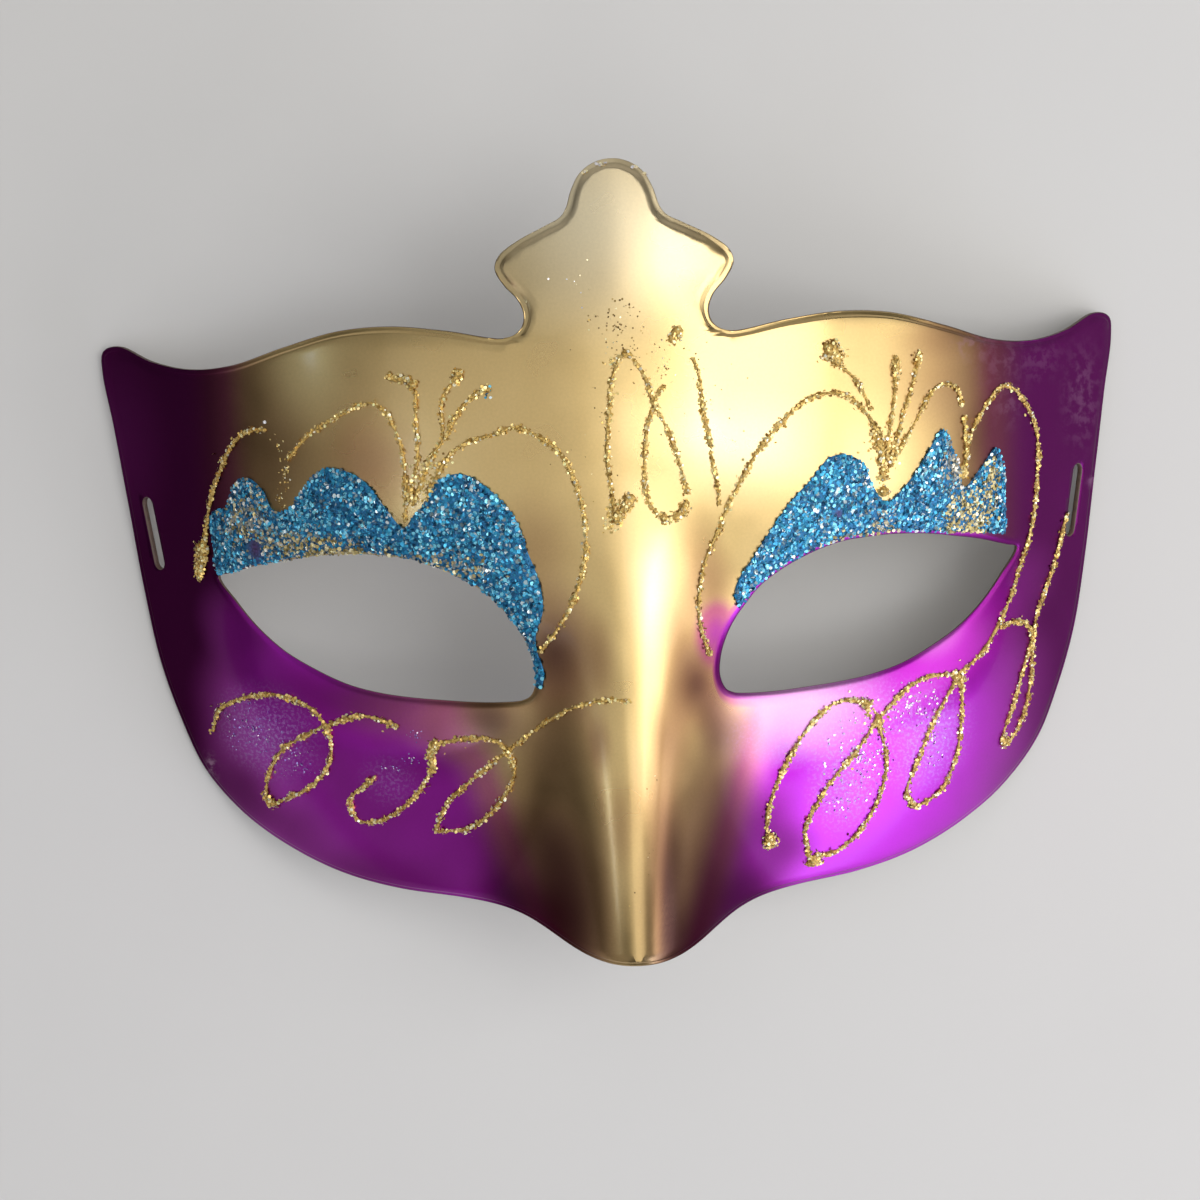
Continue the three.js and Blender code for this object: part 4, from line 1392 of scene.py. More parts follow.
@dataclass(frozen=True)
class GlitterBed:
    """The glue that holds the flakes, coloured by the finest of them."""

    name: str
    metallic: float = 0.4
    grain: float = 0.35
    contrast: float = 2.4
    roughness: Range = (0.3, 0.6)
    depth: float = 0.15
    strength: float = 0.8

    def material(self) -> Material:
        """Shades the bed's own colour by grain and roughens it.

        Returns:
            The material.
        """
        paint = Painter(self.name)
        lumps = paint.tinted(self.grain, self.contrast, self.roughness)
        paint.bump(lumps, self.depth, self.strength)
        paint.set(metallic=self.metallic)
        return paint.material


@dataclass(frozen=True)
class SprayPattern:
    """Where the spray lies on the face: both colours, painted shade, pale gold with painted highlights,
    painted pink highlights, smears with a painted sheen, and scuffs.
    """

    form: MaskForm
    wing_left: float = 60.0
    wing_right: float = 58.0
    cheek_left: float = 20.5
    cheek_right: float = 15.5
    wing_soft: float = 8.0
    cheek_soft: float = 7.0
    cheek_slant: float = 0.32
    cheek_level: float = -25.0
    # painted shade on the brow's ends and the wings, stronger on the left, reaching nearer the edges lower
    # down
    dark_left: Range = (47.0, 62.0)
    dark_right: Range = (42.0, 60.0)
    dark_low: Range = (-14.0, 8.0)
    dark_low_shift_left: float = 8.0
    dark_low_shift_right: float = 12.0
    dark_share_left: float = 0.93
    dark_share_right: float = 0.74
    eye_line_x: float = 15.0
    eye_line_y: float = -7.0
    eye_line_slope: float = 0.3
    eye_line_soft: float = 3.0
    lip_spray: Range = (0.7, 1.3)
    # places where the wings' painted shade is lifted: the left wing's tip and beside both eyes' outer corners
    painted_shade_gaps: tuple[Spot, ...] = spots(
        (-79, 26, 12, 20, 0.08), (-59.5, -0.5, 8, 9, 0.45), (62, 1, 10, 9, 0.3),
    )
    # paler gold over the crown, and painted highlights on the right brow and the bridge
    pale_gold_and_highlights: tuple[Spot, ...] = spots(
        (-2, 62, 26, 22, 0.95), (18, 28, 15, 10, 0.4), (3.6, 8, 4.5, 12, 0.5),
    )
    haze: tuple[Spot, ...] = spots(
        (13, 1.5, 4.5, 7, 0.8),
    )
    # painted shade beside the nose, round the eyes' inner corners, on the brow's ends and over the lower
    # cheeks
    painted_shade_spots: tuple[Spot, ...] = spots(
        (48, 36, 12, 12, 0.3), (50, 42, 12, 5, 0.35), (54, 27, 5, 6, 0.25), (-23, -8.5, 9, 6, 0.45),
        (-27, -14, 6, 5, 0.35), (-36, -11, 14, 6, 0.42), (-31, -17, 12, 7, 0.25), (-13, 14, 8, 12, 0.3),
        (10.5, 13, 5, 10, 0.28), (12.5, 8, 5, 9, 0.42), (2.6, -12, 3.4, 9, 0.15), (-36, 27, 11, 9, 0.33),
        (-50, 27, 9, 13, 0.32), (-10.5, 0, 9, 13, 0.86), (-11, -13, 8, 12, 0.4), (-4.5, -12, 2.2, 6, 0.4),
        (-4, -1, 3, 9, 0.28), (-20, -11, 7, 7, 0.75), (-12, -40, 12, 32, 0.92), (-9, -40, 6, 22, 0.7),
        (-13, -29, 7, 9, 0.5), (-20, -30, 6, 8, 0.4), (-18, -41, 9, 12, 0.8), (-2, -24, 2.6, 9, 0.3),
        (1, -19, 2.6, 10, 0.2), (8, 1, 5, 12, 0.45), (13.5, -1, 5, 9, 0.5), (9.8, -5, 6, 9, 0.85),
        (6, -11, 4.2, 10, 0.55), (13, -12, 4.5, 7, 0.6), (12, -8, 5, 6, 0.45), (16.5, -13, 4, 6, 0.35),
        (14.5, -22, 6, 14, 0.6), (11, -38, 14, 36, 0.9), (4.4, -34, 3.8, 30, 0.8), (7, -44, 6, 10, 0.7),
        (20, -30, 8, 11, 0.65), (24, -35, 6, 7, 0.55), (19, -41, 8, 8, 0.65), (-44, -41, 24, 9, 0.5),
        (-60, -28, 8, 9, 0.6), (-54, -33, 10, 7, 0.45), (-45, -9, 13, 6, 0.35),
    )
    gilts: tuple[Spot, ...] = spots(
        (-31, -10, 19, 9, 0.34), (-27, -14, 8, 6, 0.28),
    )
    # painted highlights: pale pink over the right cheek
    painted_highlights: tuple[Spot, ...] = spots(
        (25, -11, 17, 11, 0.55), (47, -3, 7, 6, 0.25),
    )
    # pearly residue on both cheeks, and a painted sheen over the right cheek
    smears_and_sheen: tuple[Spot, ...] = spots(
        (-55, -17, 11, 10, 0.5), (-36, -22, 6, 6, 0.25), (46, -20, 10, 12, 0.45), (33, -24, 8, 12, 0.45),
        (30, -14, 18, 9, 0.4),
    )
    scuffs: tuple[Spot, ...] = spots(
        (74.5, 28, 6, 12, 0.2), (66, 35, 7, 5, 0.12), (58.5, 36.5, 7, 5, 0.16), (53.5, 39.6, 5, 3, 0.25),
        (60, 29.5, 4, 5, 0.18), (-66, -25.5, 1.6, 3.4, 0.9), (77, 14, 2, 2.5, 0.5),
    )

    def purple(self, x: Array, y: Array) -> Array:
        """Gives the share of purple in the spray.

        Wings are purple beyond a line, cheeks beyond another one and below the eyes, and so are the lip of
        the right eye and a haze beside the nose. Gold overspray thins it under the left eye.

        Args:
            x: where the points are, across.
            y: where the points are, along.

        Returns:
            One share per point.
        """
        across = np.abs(x)
        wing_line = np.where(x < 0, self.wing_left, self.wing_right)
        wing = smoothstep(wing_line - self.wing_soft, wing_line + self.wing_soft, across)
        cheek_line = np.where(x < 0, self.cheek_left, self.cheek_right)
        cheek_line = cheek_line + self.cheek_slant * (y - self.cheek_level)
        cheek = smoothstep(cheek_line - self.cheek_soft, cheek_line + self.cheek_soft, across)
        eye_line = self.eye_line_y + (across - self.eye_line_x) * self.eye_line_slope
        below = smoothstep(-self.eye_line_soft, self.eye_line_soft, eye_line - y)
        below = below * (1 - spread(self.gilts, x, y))
        lip = (1 - smoothstep(*self.lip_spray, distance_to(self.form.eye_loop, across, y))) * (x > 0)
        return 1 - (1 - wing) * (1 - cheek * below) * (1 - lip) * (1 - spread(self.haze, x, y))

    def painted_shade(self, x: Array, y: Array) -> Array:
        """Gives the share of painted shade, on the ends of the brow, on the wings and beside the nose.

        Lower on the wings it keeps closer to their edges.

        Args:
            x: where the points are, across.
            y: where the points are, along.

        Returns:
            One share per point.
        """
        low = 1 - smoothstep(*self.dark_low, y)
        left = self.dark_share_left * smoothstep(*self.dark_left, -x - self.dark_low_shift_left * low)
        right = self.dark_share_right * smoothstep(*self.dark_right, x - self.dark_low_shift_right * low)
        wings = (left + right) * (1 - spread(self.painted_shade_gaps, x, y))
        return 1 - (1 - wings) * (1 - spread(self.painted_shade_spots, x, y))

    def weights(self, x: Array, y: Array) -> dict[str, Array]:
        """Gathers all the shares that the spray coat reads.

        Args:
            x: where the points are, across.
            y: where the points are, along.

        Returns:
            One share per point, by name.
        """
        return {
            "purple": self.purple(x, y),
            "painted_shade": self.painted_shade(x, y),
            "pale": spread(self.pale_gold_and_highlights, x, y),
            "painted_highlight": spread(self.painted_highlights, x, y),
            "residue_and_sheen": spread(self.smears_and_sheen, x, y),
            "scuff": spread(self.scuffs, x, y),
        }


@dataclass
class Shell:
    """The formed and trimmed sheet with its eye holes and strap slots, sprayed gold and purple."""

    form: MaskForm
    wall: float = 0.9
    bulge: float = 0.15
    cell: float = 0.75
    slot_cell: float = 0.45
    slot_ribs: Range = (10.6, 13.4)
    lip_rows: tuple[float, ...] = (0.0, 0.25, 0.5, 0.75, 1.0)
    rim_rows: tuple[float, ...] = (1.1, 0.95, 0.84, 0.73, 0.62, 0.52, 0.3, 0.12, 0.0)
    inner_rows: int = 30
    crown_rows: int = 16
    crown_fan: float = 0.02
    crown_fan_from: float = 56.0
    slot_x: float = 73.0
    slot_y: float = 11.8
    slot_length: float = 11.5
    slot_width: float = 2.4
    slot_lean_deg: float = 12.0
    edge_samples: int = 40
    middle_steps: int = 14
    crown_steps: int = 5

    def rib_places(self) -> Array:
        """Chooses the ribs so that cells are short along the edge, and shorter beside the strap slot.

        Returns:
            The ribs, counted in rows of their table.
        """
        coarse = np.linspace(0, NOTCH_RIB, NOTCH_RIB * self.edge_samples + 1)
        length = np.linalg.norm(np.diff(self.form.edge_at(coarse), axis=0), axis=1)
        near = (coarse[1:] > self.slot_ribs[0]) & (coarse[1:] < self.slot_ribs[1])
        cells = np.concatenate([[0], np.cumsum(length / np.where(near, self.slot_cell, self.cell))])
        outer = np.interp(np.linspace(0, cells[-1], int(cells[-1]) + 1), cells, coarse)
        middle = np.linspace(MIDDLE_RIB, len(RIBS), (len(RIBS) - MIDDLE_RIB) * self.middle_steps + 1)
        top = NOTCH_RIB + (MIDDLE_RIB - NOTCH_RIB) * self.crown_shares()
        return np.concatenate([outer, top[1:], middle[1:-1]])

    def crown_shares(self) -> Array:
        """Shares of the way from the crown's edge to its middle, close together under the rim."""
        rim = np.array(self.rim_rows[::-1]) * self.form.rim_crown_width / CROWN[0].half
        return np.concatenate([rim, np.linspace(rim[-1], 1, self.crown_rows)[1:]])

    def ring_plan(self) -> tuple[Array, Indices]:
        """Lays out one half round its eye hole: straight ribs from the lip to the rim, in a closed ring.

        Returns:
            The plan points and their faces.
        """
        ribs = self.rib_places()
        eye = self.form.eye_at(ribs)
        edge = self.form.edge_at(ribs)
        span = np.linalg.norm(edge - eye, axis=1)[:, None]
        lip = np.array(self.lip_rows) / span
        rim = 1 - np.array(self.rim_rows) * self.form.rim_at(edge[:, 1])[:, None] / span
        inner = lip[:, -1:] + (rim[:, :1] - lip[:, -1:]) * np.linspace(0, 1, self.inner_rows)[1:-1]
        shares = np.hstack([lip, inner, rim])
        plan = eye[:, None] + (edge - eye)[:, None] * shares[:, :, None]
        return plan.reshape(-1, 2), grid_faces(len(ribs), shares.shape[1], closed=True)

    def crown_plan(self) -> tuple[Array, Indices]:
        """Lays out one half of the crown: straight ribs from its outline to its middle, fanned at the tip.

        Returns:
            The plan points and their faces.
        """
        last = len(CROWN) - 1
        edge = self.form.crown_at(np.linspace(0, last, last * self.crown_steps + 1))
        fan = self.crown_fan * np.maximum(edge[:, 1] - self.crown_fan_from, 0) ** 2
        spine = np.stack([np.zeros(len(edge)), edge[:, 1] - fan], axis=1)
        shares = self.crown_shares()
        plan = edge[:, None] + (spine - edge)[:, None] * shares[:, None]
        return plan.reshape(-1, 2), grid_faces(len(edge), len(shares))

    def slot_gap(self, plan: Array) -> tuple[Array, Array]:
        """Measures how far points lie outside the strap slot, on the slope of the temple.

        The slot is a straight line with round ends, turned by its lean and stretched by the slope.

        Args:
            plan: the points in plan.

        Returns:
            The distances, negative inside the slot, and the nearest points of its outline.
        """
        form = self.form
        rise = math.sqrt(form.wrap_radius**2 - form.wrap_flat_from**2)
        stretch = math.hypot(1.0, form.wrap_flat_from / rise)
        lean = math.radians(self.slot_lean_deg)
        turn = np.array([[math.cos(lean), math.sin(lean)], [-math.sin(lean), math.cos(lean)]])
        local = ((plan - (self.slot_x, self.slot_y)) * (stretch, 1.0)) @ turn
        straight = (self.slot_length - self.slot_width) / 2
        core = np.stack([np.zeros(len(local)), np.clip(local[:, 1], -straight, straight)], axis=1)
        gap = np.linalg.norm(local - core, axis=1)
        rim = core + (local - core) / np.maximum(gap, TINY)[:, None] * (self.slot_width / 2)
        return gap - self.slot_width / 2, (rim @ turn.T) / (stretch, 1.0) + (self.slot_x, self.slot_y)

    def cut_slot(self, plan: Array, faces: Indices) -> tuple[Array, Indices]:
        """Takes out the cells that reach into the slot and draws the cells round them to its outline.

        Args:
            plan: the points in plan.
            faces: their faces.

        Returns:
            The points and faces that are left.
        """
        gap, rim = self.slot_gap(plan)
        inside = (gap < 0)[faces].any(axis=1)
        border = np.intersect1d(faces[inside], faces[~inside])
        plan = plan.copy()
        plan[border] = rim[border]
        return used_only(plan, faces[~inside])

    def build(self, coat: Material, bare: Material, cut: Material) -> Piece:
        """Makes the shell: both halves welded along the middle, raised to the relief and given a wall.

        Args:
            coat: the finish of the front.
            bare: the finish of the back.
            cut: the finish of the trimmed edge.

        Returns:
            The shell.
        """
        ring, ring_faces = self.ring_plan()
        crown, crown_faces = self.crown_plan()
        half = np.vstack([ring, crown])
        half, faces = self.cut_slot(*weld(half, np.vstack([ring_faces, crown_faces + len(ring)])))
        plan = np.vstack([half, half * (-1, 1)])
        plan, faces = weld(plan, np.vstack([faces, faces + len(half)]))
        faces = facing_out(plan, faces)
        front = self.form.on_face(plan)
        back = front - point_normals(front, faces) * self.wall
        sheet = thicken(front, back, faces, self.bulge)
        values = SprayPattern(self.form).weights(sheet.points[:, 0], sheet.points[:, 1])
        parts = [
            Facets(sheet.points, sheet.front, ShellSide.FRONT),
            Facets(NO_POINTS, sheet.back, ShellSide.BACK),
            Facets(NO_POINTS, sheet.edge, ShellSide.EDGE),
        ]
        shell = make_piece("shell", parts, [coat, bare, cut], values)
        enter_frame(shell, "mask_shell")
        return shell


@dataclass
class GlitterPanel:
    """A coat of blue glitter above one eye, from the edge of the eye hole to its scalloped top."""

    form: MaskForm
    node: str
    rows: tuple[PanelRow, ...]
    patches: Patches
    seed: int
    thickness: float = 0.3
    sunk: float = 0.05
    rib_steps: int = 8
    cross_rows: int = 24
    per_mm2: float = 10.5
    flake: Range = (0.2, 0.37)
    lean: float = 0.32
    bed: Colour = (0.016, 0.15, 0.33)
    bed_bare: Colour = (0.07, 0.035, 0.13)
    border_lift: float = 0.05
    uneven: float = 0.08
    bulge: float = 0.05
    bare_gain: float = 1.3
    flake_lift: Range = (0.2, 0.45)

    def plan(self) -> tuple[Array, Indices]:
        """Lays out straight sections from the eye hole's edge to a smooth curve along the panel's top.

        Returns:
            The plan points and their faces.
        """
        top_points = np.array([(row.x, row.y) for row in self.rows])
        foot_points = np.array([(row.rib, row.foot) for row in self.rows])
        places = np.linspace(0, len(self.rows) - 1, (len(self.rows) - 1) * self.rib_steps + 1)
        top = curve_through(top_points, places)
        foot = curve_through(foot_points, places)
        side = math.copysign(1.0, self.rows[0].x)
        eye = self.form.eye_at(foot[:, 0]) * (side, 1)
        low = foot[:, 1] / np.linalg.norm(top - eye, axis=1)
        shares = low[:, None] + (1 - low)[:, None] * np.linspace(0, 1, self.cross_rows)
        plan = eye[:, None] + (top - eye)[:, None] * shares[:, :, None]
        return plan.reshape(-1, 2), grid_faces(len(places), self.cross_rows)

    def build(self, bed: Material, flakes: Material) -> Piece:
        """Makes the bed of glue, thin at its borders, and scatters flakes over it by area.

        Args:
            bed: the finish of the glue.
            flakes: the finish of the flakes.

        Returns:
            The panel.
        """
        rng = np.random.default_rng(self.seed)
        plan, faces = weld(*self.plan())
        faces = facing_out(plan, faces)
        ground = self.form.on_face(plan)
        normal = self.form.normals(plan[:, 0], plan[:, 1])
        border = np.isin(np.arange(len(plan)), open_edges(faces))
        thick = self.thickness + rng.uniform(-self.uneven, self.uneven, len(plan))
        lift = np.where(border, self.border_lift, thick)
        sheet = thicken(ground + normal * lift[:, None], ground - normal * self.sunk, faces, self.bulge)
        bare = spread(self.patches.bare, sheet.points[:, 0], sheet.points[:, 1])[:, None]
        tints = np.array(self.bed) * (1 - bare) + np.array(self.bed_bare) * bare
        parts = [
            Facets(sheet.points, sheet.front, GlitterLayer.BED, tints=tints),
            Facets(NO_POINTS, sheet.edge, GlitterLayer.BED),
            Facets(NO_POINTS, sheet.back, GlitterLayer.BED),
            self.scatter(ground, normal, faces, rng),
        ]
        panel = make_piece(self.node + "_coat", parts, [bed, flakes])
        enter_frame(panel, self.node)
        return panel

    def scatter(self, ground: Array, normal: Array, faces: Indices, rng: Rng) -> Facets:
        """Draws cells by their area, a place in each, and a flake there, gold where gold was mixed in.

        Args:
            ground: the points of the face under the panel.
            normal: the face's directions there.
            faces: the panel's cells.
            rng: the source of the random draws.

        Returns:
            The flakes.
        """
        area = np.linalg.norm(np.cross(*diagonals(ground, faces)), axis=1) / 2
        count = int(area.sum() * self.per_mm2)
        cell = faces[rng.choice(len(faces), count, p=area / area.sum())]
        u, v = rng.uniform(0, 1, (2, count, 1))
        weight = np.stack([(1 - u) * (1 - v), u * (1 - v), u * v, (1 - u) * v], axis=1)
        place = (ground[cell] * weight).sum(axis=1)
        out = unit((normal[cell] * weight).sum(axis=1))
        x, y = place[:, 0], place[:, 1]
        keep = rng.uniform(0, 1, count) > spread(self.patches.bare, x, y) * self.bare_gain
        golden = rng.uniform(0, 1, (count, 1)) < spread(self.patches.gold, x, y)[:, None]
        dulled = rng.uniform(0, 1, (count, 1)) < spread(self.patches.dull, x, y)[:, None]
        tints = np.where(dulled, draw_tones(DULL_TONES, count, rng), draw_tones(BLUE_TONES, count, rng))
        tints = np.where(golden, draw_tones(KHAKI_TONES, count, rng), tints)
        centres = place + out * rng.uniform(*self.flake_lift, (count, 1))
        radii = rng.uniform(*self.flake, count)
        chosen = (kind[keep] for kind in (centres, out, radii, tints))
        return hexagons(*chosen, self.lean, rng, GlitterLayer.FLAKES)


@dataclass
class GoldScroll:
    """Raised lines of gold glitter glue that run into each other."""

    form: MaskForm
    node: str
    strokes: tuple[Stroke, ...]
    seed: int
    step: float = 0.2
    sides: int = 8
    sunk: float = 0.1
    bed_share: float = 0.36
    rise: float = 0.3
    rise_share: float = 0.22
    per_mm2: float = 12.0
    flake: Range = (0.14, 0.29)
    lean: float = 0.42
    stray_share: float = 0.035
    bed: Colour = (0.58, 0.39, 0.11)
    curve_samples: int = 60
    least_steps: int = 6
    least_flakes: int = 4
    wobble: float = 0.07
    wobble_length: Range = (1.5, 4.0)
    beading: float = 0.13
    beading_length: Range = (0.25, 1.4)
    graininess: float = 0.15
    end_least: float = 0.02
    crumble: float = 0.03
    round_reach: float = 1.4
    stray_reach: float = 1.4
    stray_lift: float = 0.06
    flake_lift: float = 0.05
    flake_turn: float = 0.7
    flake_jitter: float = 0.1

    def path(self, line: Stroke, rng: Rng) -> Array:
        """Follows a stroke at even steps, with the slight wobble of a hand.

        Args:
            line: the stroke.
            rng: the source of the random draws.

        Returns:
            The plan points.
        """
        points = np.array(line.through, float)
        fine = curve_through(points, np.linspace(0, len(points) - 1, self.curve_samples * len(points)))
        run = np.concatenate([[0], np.cumsum(np.linalg.norm(np.diff(fine, axis=0), axis=1))])
        even = np.linspace(0, run[-1], max(self.least_steps, int(run[-1] / self.step)))
        plan = np.stack([np.interp(even, run, fine[:, i]) for i in (0, 1)], axis=1)
        sway = [wave * self.wobble for wave in waves(even, self.wobble_length, rng)]
        return plan + np.stack([sway[0] + sway[1], sway[2] + sway[3]], axis=1)

    def swelling(self, count: int, width: float, rng: Rng) -> Array:
        """Gives the half widths along a stroke: beaded by a few waves, grainy, and round at both ends.

        Args:
            count: how many steps the stroke has.
            width: its width.
            rng: the source of the random draws.

        Returns:
            One half width per step.
        """
        run = np.arange(count) * self.step
        beaded = sum(waves(run, self.beading_length, rng)) * self.beading
        grainy = rng.uniform(-self.graininess, self.graininess, count)
        half = width / 2
        end = np.minimum(run, run[::-1]) / half
        rounded = np.sqrt(np.clip(1 - np.clip(1 - end, 0, 1) ** 2, self.end_least, 1))
        return half * (1 + beaded + grainy) * rounded

    def bead(self, line: Stroke, rng: Rng) -> tuple[Facets, Facets, Facets]:
        """Carries a flattened round section along a stroke, closes its ends, and sprinkles flakes on it.

        Args:
            line: the stroke.
            rng: the source of the random draws.

        Returns:
            The tube, its two ends, and its flakes.
        """
        plan = self.path(line, rng)
        count = len(plan)
        ground = self.form.on_face(plan)
        up = self.form.normals(plan[:, 0], plan[:, 1])
        ahead = unit(np.gradient(ground, axis=0))
        aside = unit(np.cross(ahead, up))
        half = self.swelling(count, line.width.value, rng)
        tall = (self.rise + self.rise_share * line.width.value) * half / half.max()
        turn = np.arange(self.sides) * 2 * math.pi / self.sides
        across = 2 * self.bed_share * half[:, None] * np.cos(turn)
        high = np.where(np.sin(turn) > 0, tall[:, None], self.sunk) * np.sin(turn)
        ring = ground[:, None] + aside[:, None] * across[:, :, None] + up[:, None] * high[:, :, None]
        ring = ring + rng.normal(0, self.crumble, ring.shape)
        closing = np.arange(self.sides)
        rows = np.arange(count - 1)[:, None] * self.sides
        a = rows + closing
        b = rows + np.roll(closing, -1)
        faces = np.stack([a, a + self.sides, b + self.sides, b], axis=-1).reshape(-1, 4)
        ends = np.stack([closing, closing[::-1] + (count - 1) * self.sides])
        tints = np.tile(self.bed, (count * self.sides, 1))
        tube = Facets(ring.reshape(-1, 3), faces, GlitterLayer.BED, tints=tints)
        caps = Facets(NO_POINTS, ends, GlitterLayer.BED)
        return tube, caps, self.sprinkle(ground, aside, up, half, tall, rng)

    def sprinkle(self, ground: Array, aside: Array, up: Array, half: Array, tall: Array, rng: Rng) -> Facets:
        """Draws flakes where the line is wide: most at an angle round the bead, some strayed beside it.

        Args:
            ground: the points of the face under the stroke.
            aside: the directions across the stroke.
            up: the directions out of the face.
            half: the stroke's half widths.
            tall: the stroke's heights.
            rng: the source of the random draws.

        Returns:
            The flakes.
        """
        count = max(self.least_flakes, int(2 * half.sum() * self.step * self.per_mm2))
        where = rng.choice(len(ground), count, p=half / half.sum())
        turn = rng.uniform(-self.round_reach, self.round_reach, count)
        stray = rng.uniform(0, 1, count) < self.stray_share
        side = np.where(stray, rng.normal(0, self.stray_reach, count), np.sin(turn)) * half[where]
        high = np.where(stray, self.stray_lift, tall[where] * np.cos(turn) + self.flake_lift)
        tipped = (np.sin(turn) * self.flake_turn)[:, None]
        out = unit(up[where] * np.cos(turn)[:, None] + aside[where] * tipped)
        jitter = rng.normal(0, self.flake_jitter, (count, 3))
        centres = ground[where] + aside[where] * side[:, None] + up[where] * high[:, None] + jitter
        tints = draw_tones(GOLD_TONES, count, rng)
        radii = rng.uniform(*self.flake, count)
        return hexagons(centres, out, radii, tints, self.lean, rng, GlitterLayer.FLAKES)

    def build(self, bed: Material, flakes: Material) -> Piece:
        """Makes all the strokes of the scroll as one piece.

        Args:
            bed: the finish of the glue.
            flakes: the finish of the flakes.

        Returns:
            The scroll.
        """
        rng = np.random.default_rng(self.seed)
        parts = [part for line in self.strokes for part in self.bead(line, rng)]
        scroll = make_piece(self.node + "_line", parts, [bed, flakes])
        enter_frame(scroll, self.node)
        return scroll


@dataclass
class LooseGlitter:
    """Grains that came off and stuck to the face beside the lines."""

    form: MaskForm
    name: str
    slot: str
    sprinkles: tuple[Sprinkle, ...]
    seed: int
    lift: float = 0.07
    lean: float = 0.35

    def grains(self, some: Sprinkle, rng: Rng) -> Facets:
        """Fills an oval with grains, closer together in its middle: an even reach in an even direction.

        Args:
            some: the oval and what fills it.
            rng: the source of the random draws.

        Returns:
            The grains.
        """
        reach = rng.uniform(0, 1, some.count)
        turn = rng.uniform(0, 2 * math.pi, some.count)
        x = some.x + some.half_x * reach * np.cos(turn)
        y = some.y + some.half_y * reach * np.sin(turn)
        up = self.form.normals(x, y)
        centres = self.form.on_face(np.stack([x, y], axis=1)) + up * self.lift
        radii = rng.uniform(*some.size, some.count)
        tints = draw_tones(some.tones, some.count, rng)
        return hexagons(centres, up, radii, tints, self.lean, rng)

    def build(self, flakes: Material) -> Piece:
        """Makes all the grains as one piece.

        Args:
            flakes: their finish.

        Returns:
            The grains.
        """
        rng = np.random.default_rng(self.seed)
        piece = make_piece(self.name, [self.grains(some, rng) for some in self.sprinkles], [flakes])
        enter_frame(piece)
        return piece


class Hang(Enum):
    """Which way a light's height runs."""

    UPRIGHT = (0.0, 0.0, 1.0)
    OVERHEAD = (0.0, 1.0, 0.0)


@dataclass(frozen=True)
class Softbox:
    """A rectangular studio light, aimed at the mask."""

    name: str
    hang: Hang
    place: tuple[float, float, float]
    width: float
    height: float
    radiance: float
    colour: Colour

    def build(self) -> None:
        """Hangs the light and turns it to the mask: its power is pi times its area and its radiance."""
        lamp = bpy.data.lights.new(self.name, "AREA")
        lamp.shape = "RECTANGLE"
        lamp.size = self.width
        lamp.size_y = self.height
        lamp.energy = self.radiance * math.pi * self.width * self.height
        lamp.color = self.colour
        light = bpy.data.objects.new(self.name, lamp)
        light.location = self.place
        away = Vector(self.place).normalized()
        across = Vector(self.hang.value).cross(away).normalized()
        light.rotation_euler = Matrix((across, away.cross(across), away)).transposed().to_euler()
        light.visible_camera = False
        bpy.context.scene.collection.objects.link(light)


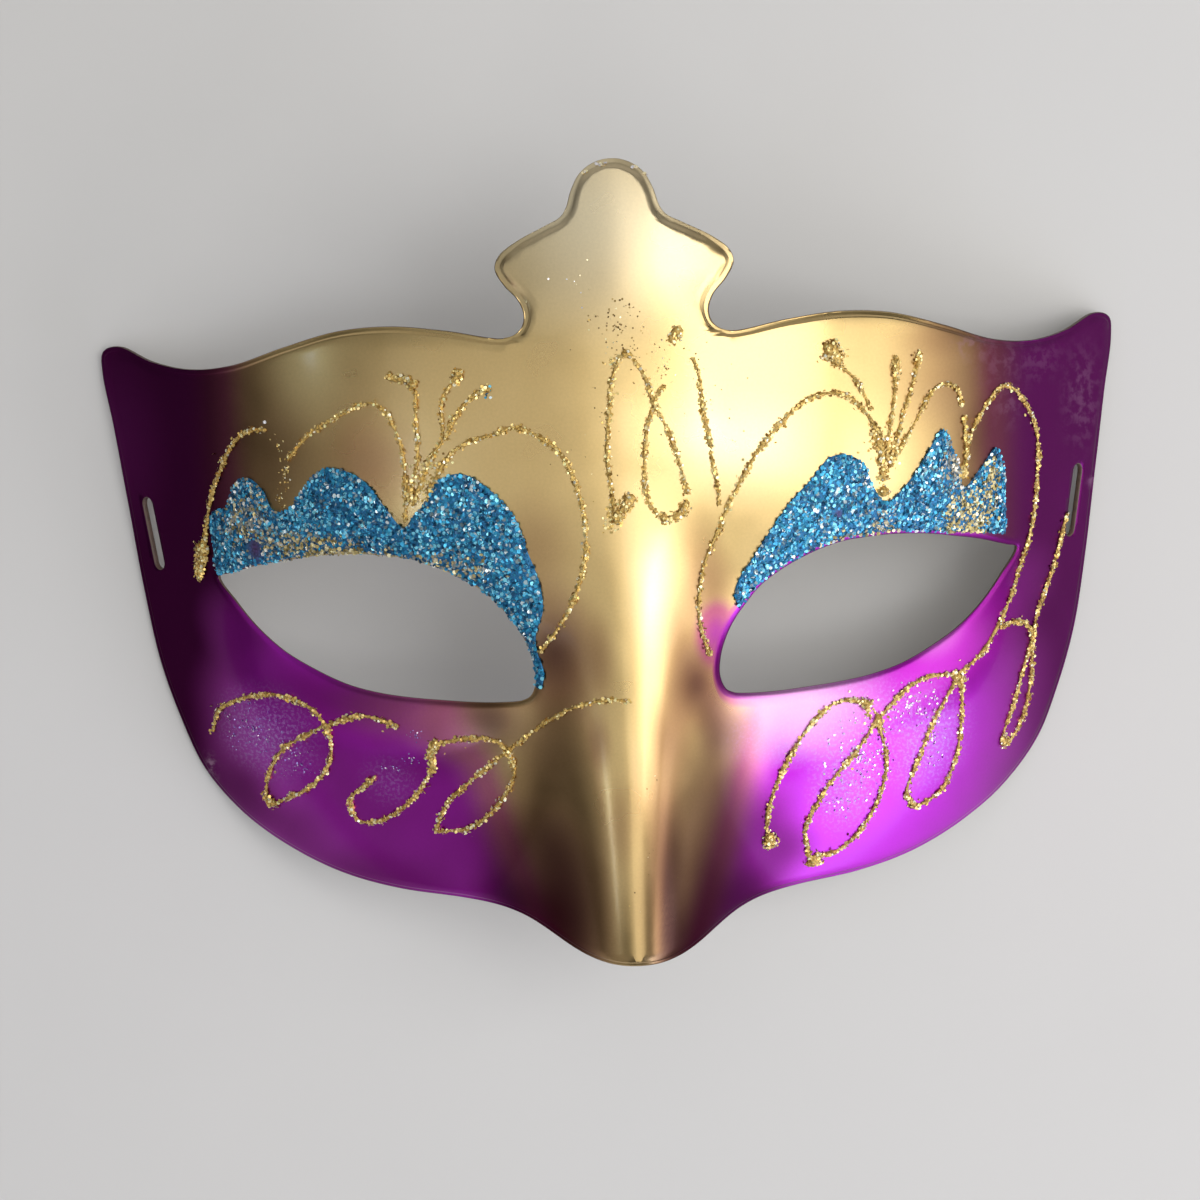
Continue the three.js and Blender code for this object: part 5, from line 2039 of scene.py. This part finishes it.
@dataclass
class Studio:
    """A pale floor, soft lights and the camera above the mask."""

    floor_mottle: float = 60.0
    floor_roughness: Range = (0.75, 0.85)
    camera_mm: tuple[float, float, float] = (-11.10, 14.07, 378.5)
    camera_turn: tuple[float, float, float] = (-0.0552, -0.0218, -0.0374)
    lens: float = 70.57
    sensor: float = 36.0
    floor_half: float = 1.5
    floor_tone: Colour = (0.66, 0.655, 0.65)
    floor_deep: Colour = (0.63, 0.625, 0.62)
    sky: Colour = (0.05, 0.05, 0.052)
    lights: tuple[Softbox, ...] = (
        Softbox("key", Hang.OVERHEAD, (0.45, 0.05, 0.75), 0.46, 0.56, 3.5, (1.0, 0.99, 0.97)),
        Softbox("bridge", Hang.OVERHEAD, (0.23, -0.16, 1.1), 0.42, 0.16, 3.5, (1.0, 1.0, 1.0)),
        Softbox("right_high", Hang.UPRIGHT, (0.74, -0.41, 0.52), 0.60, 0.27, 3.4, (1.0, 0.97, 0.95)),
        Softbox("right_side", Hang.UPRIGHT, (0.83, 0.02, 0.37), 0.44, 0.54, 1.6, (1.0, 0.96, 0.88)),
        Softbox("right_front", Hang.UPRIGHT, (0.60, -0.64, 0.17), 0.75, 0.42, 3.5, (0.76, 0.80, 1.0)),
        Softbox("bridge_front", Hang.OVERHEAD, (0.86, -0.50, 1.1), 0.42, 0.40, 0.9, (1.0, 0.97, 0.93)),
        Softbox("top_front", Hang.OVERHEAD, (0.09, -0.68, 1.1), 0.42, 0.86, 1.5, (1.0, 0.98, 0.94)),
        Softbox("top_back", Hang.OVERHEAD, (0.0, 0.28, 1.1), 0.20, 1.0, 0.92, (1.0, 0.99, 0.97)),
        Softbox("top_right", Hang.OVERHEAD, (0.25, 0.28, 1.1), 0.30, 0.7, 1.3, (1.0, 0.98, 0.94)),
        Softbox("ceiling_left", Hang.OVERHEAD, (-0.57, -0.24, 1.1), 0.94, 0.8, 0.68, (1.0, 0.98, 0.95)),
        Softbox("ceiling_back", Hang.OVERHEAD, (-0.24, 0.5, 1.1), 0.28, 0.66, 0.76, (0.97, 0.99, 1.0)),
        Softbox("corner_back", Hang.OVERHEAD, (-0.72, 0.5, 1.1), 0.66, 0.66, 0.38, (0.97, 0.99, 1.0)),
        Softbox("wall_back", Hang.UPRIGHT, (0.0, 1.2, 0.5), 2.2, 0.9, 0.4, (1.0, 0.97, 0.93)),
        Softbox("wall_left", Hang.UPRIGHT, (-0.95, -0.05, 0.5), 0.9, 0.5, 0.19, (1.0, 0.93, 0.86)),
        Softbox("glow_left", Hang.UPRIGHT, (-0.80, -0.17, 0.60), 0.12, 0.16, 0.7, (1.0, 0.68, 0.75)),
        Softbox("left_front", Hang.UPRIGHT, (-0.55, -0.70, 0.35), 0.8, 0.6, 0.26, (1.0, 0.92, 0.9)),
        Softbox("strip_left", Hang.OVERHEAD, (-0.56, -0.28, 0.60), 0.03, 0.35, 6.5, (0.56, 0.72, 1.0)),
        Softbox("spot_left", Hang.UPRIGHT, (-0.76, 0.06, 0.36), 0.04, 0.025, 18.0, (0.60, 0.80, 1.0)),
    )

    def floor(self) -> None:
        """Lays a square floor under the mask."""
        paint = Painter("floor_paper")
        paint.mottle(self.floor_mottle, self.floor_deep, self.floor_tone, self.floor_roughness)
        half = self.floor_half
        corners = [(-half, -half, 0), (half, -half, 0), (half, half, 0), (-half, half, 0)]
        mesh = bpy.data.meshes.new("floor")
        mesh.from_pydata(corners, [], [(0, 1, 2, 3)])
        mesh.materials.append(paint.material)
        floor = bpy.data.objects.new("floor", mesh)
        bpy.context.scene.collection.objects.link(floor)

    def camera(self) -> None:
        """Sets the camera where the mask is seen from above, a little towards its crown."""
        lens = bpy.data.cameras.new("camera")
        lens.lens = self.lens
        lens.sensor_width = self.sensor
        view = bpy.data.objects.new("camera", lens)
        view.location = Vector(self.camera_mm) * MM
        view.rotation_euler = Euler(self.camera_turn, "ZYX").to_quaternion().to_euler()
        bpy.context.scene.collection.objects.link(view)
        bpy.context.scene.camera = view

    def build(self) -> None:
        """Sets up the floor, the sky, the lights and the camera."""
        world = bpy.data.worlds.new("studio")
        world.use_nodes = True
        world.node_tree.nodes["Background"].inputs["Color"].default_value = (*self.sky, 1.0)
        bpy.context.scene.world = world
        bpy.context.scene.view_settings.view_transform = "Standard"
        self.floor()
        for light in self.lights:
            light.build()
        self.camera()


def main() -> None:
    """Builds the studio and the mask's pieces in order."""
    logging.basicConfig(level=logging.INFO, format="%(name)s: %(message)s")
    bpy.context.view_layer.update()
    Studio().build()
    form = MaskForm()
    Shell(form).build(SprayCoat().material(), BarePlastic().material(), CutEdge().material())
    blue_bed = GlitterBed("blue_bed").material()
    blue_flakes = GlitterFlakes("blue_flakes").material()
    gold_bed = GlitterBed("gold_bed").material()
    gold_flakes = GlitterFlakes("gold_flakes").material()
    for number, (node, (rows, patches)) in enumerate(PANELS.items()):
        GlitterPanel(form, node, rows, patches, PANEL_SEED + number).build(blue_bed, blue_flakes)
    for number, (node, strokes) in enumerate(SCROLLS.items()):
        GoldScroll(form, node, strokes, SCROLL_SEED + number).build(gold_bed, gold_flakes)
    LooseGlitter(form, "loose_gold_grains", "gold_glitter", GOLD_GRAINS, GRAIN_SEED).build(gold_flakes)
    LooseGlitter(form, "loose_pearl_dust", "shell_coat", PEARL_GRAINS, GRAIN_SEED + 1).build(gold_flakes)


if __name__ == "__main__":
    main()
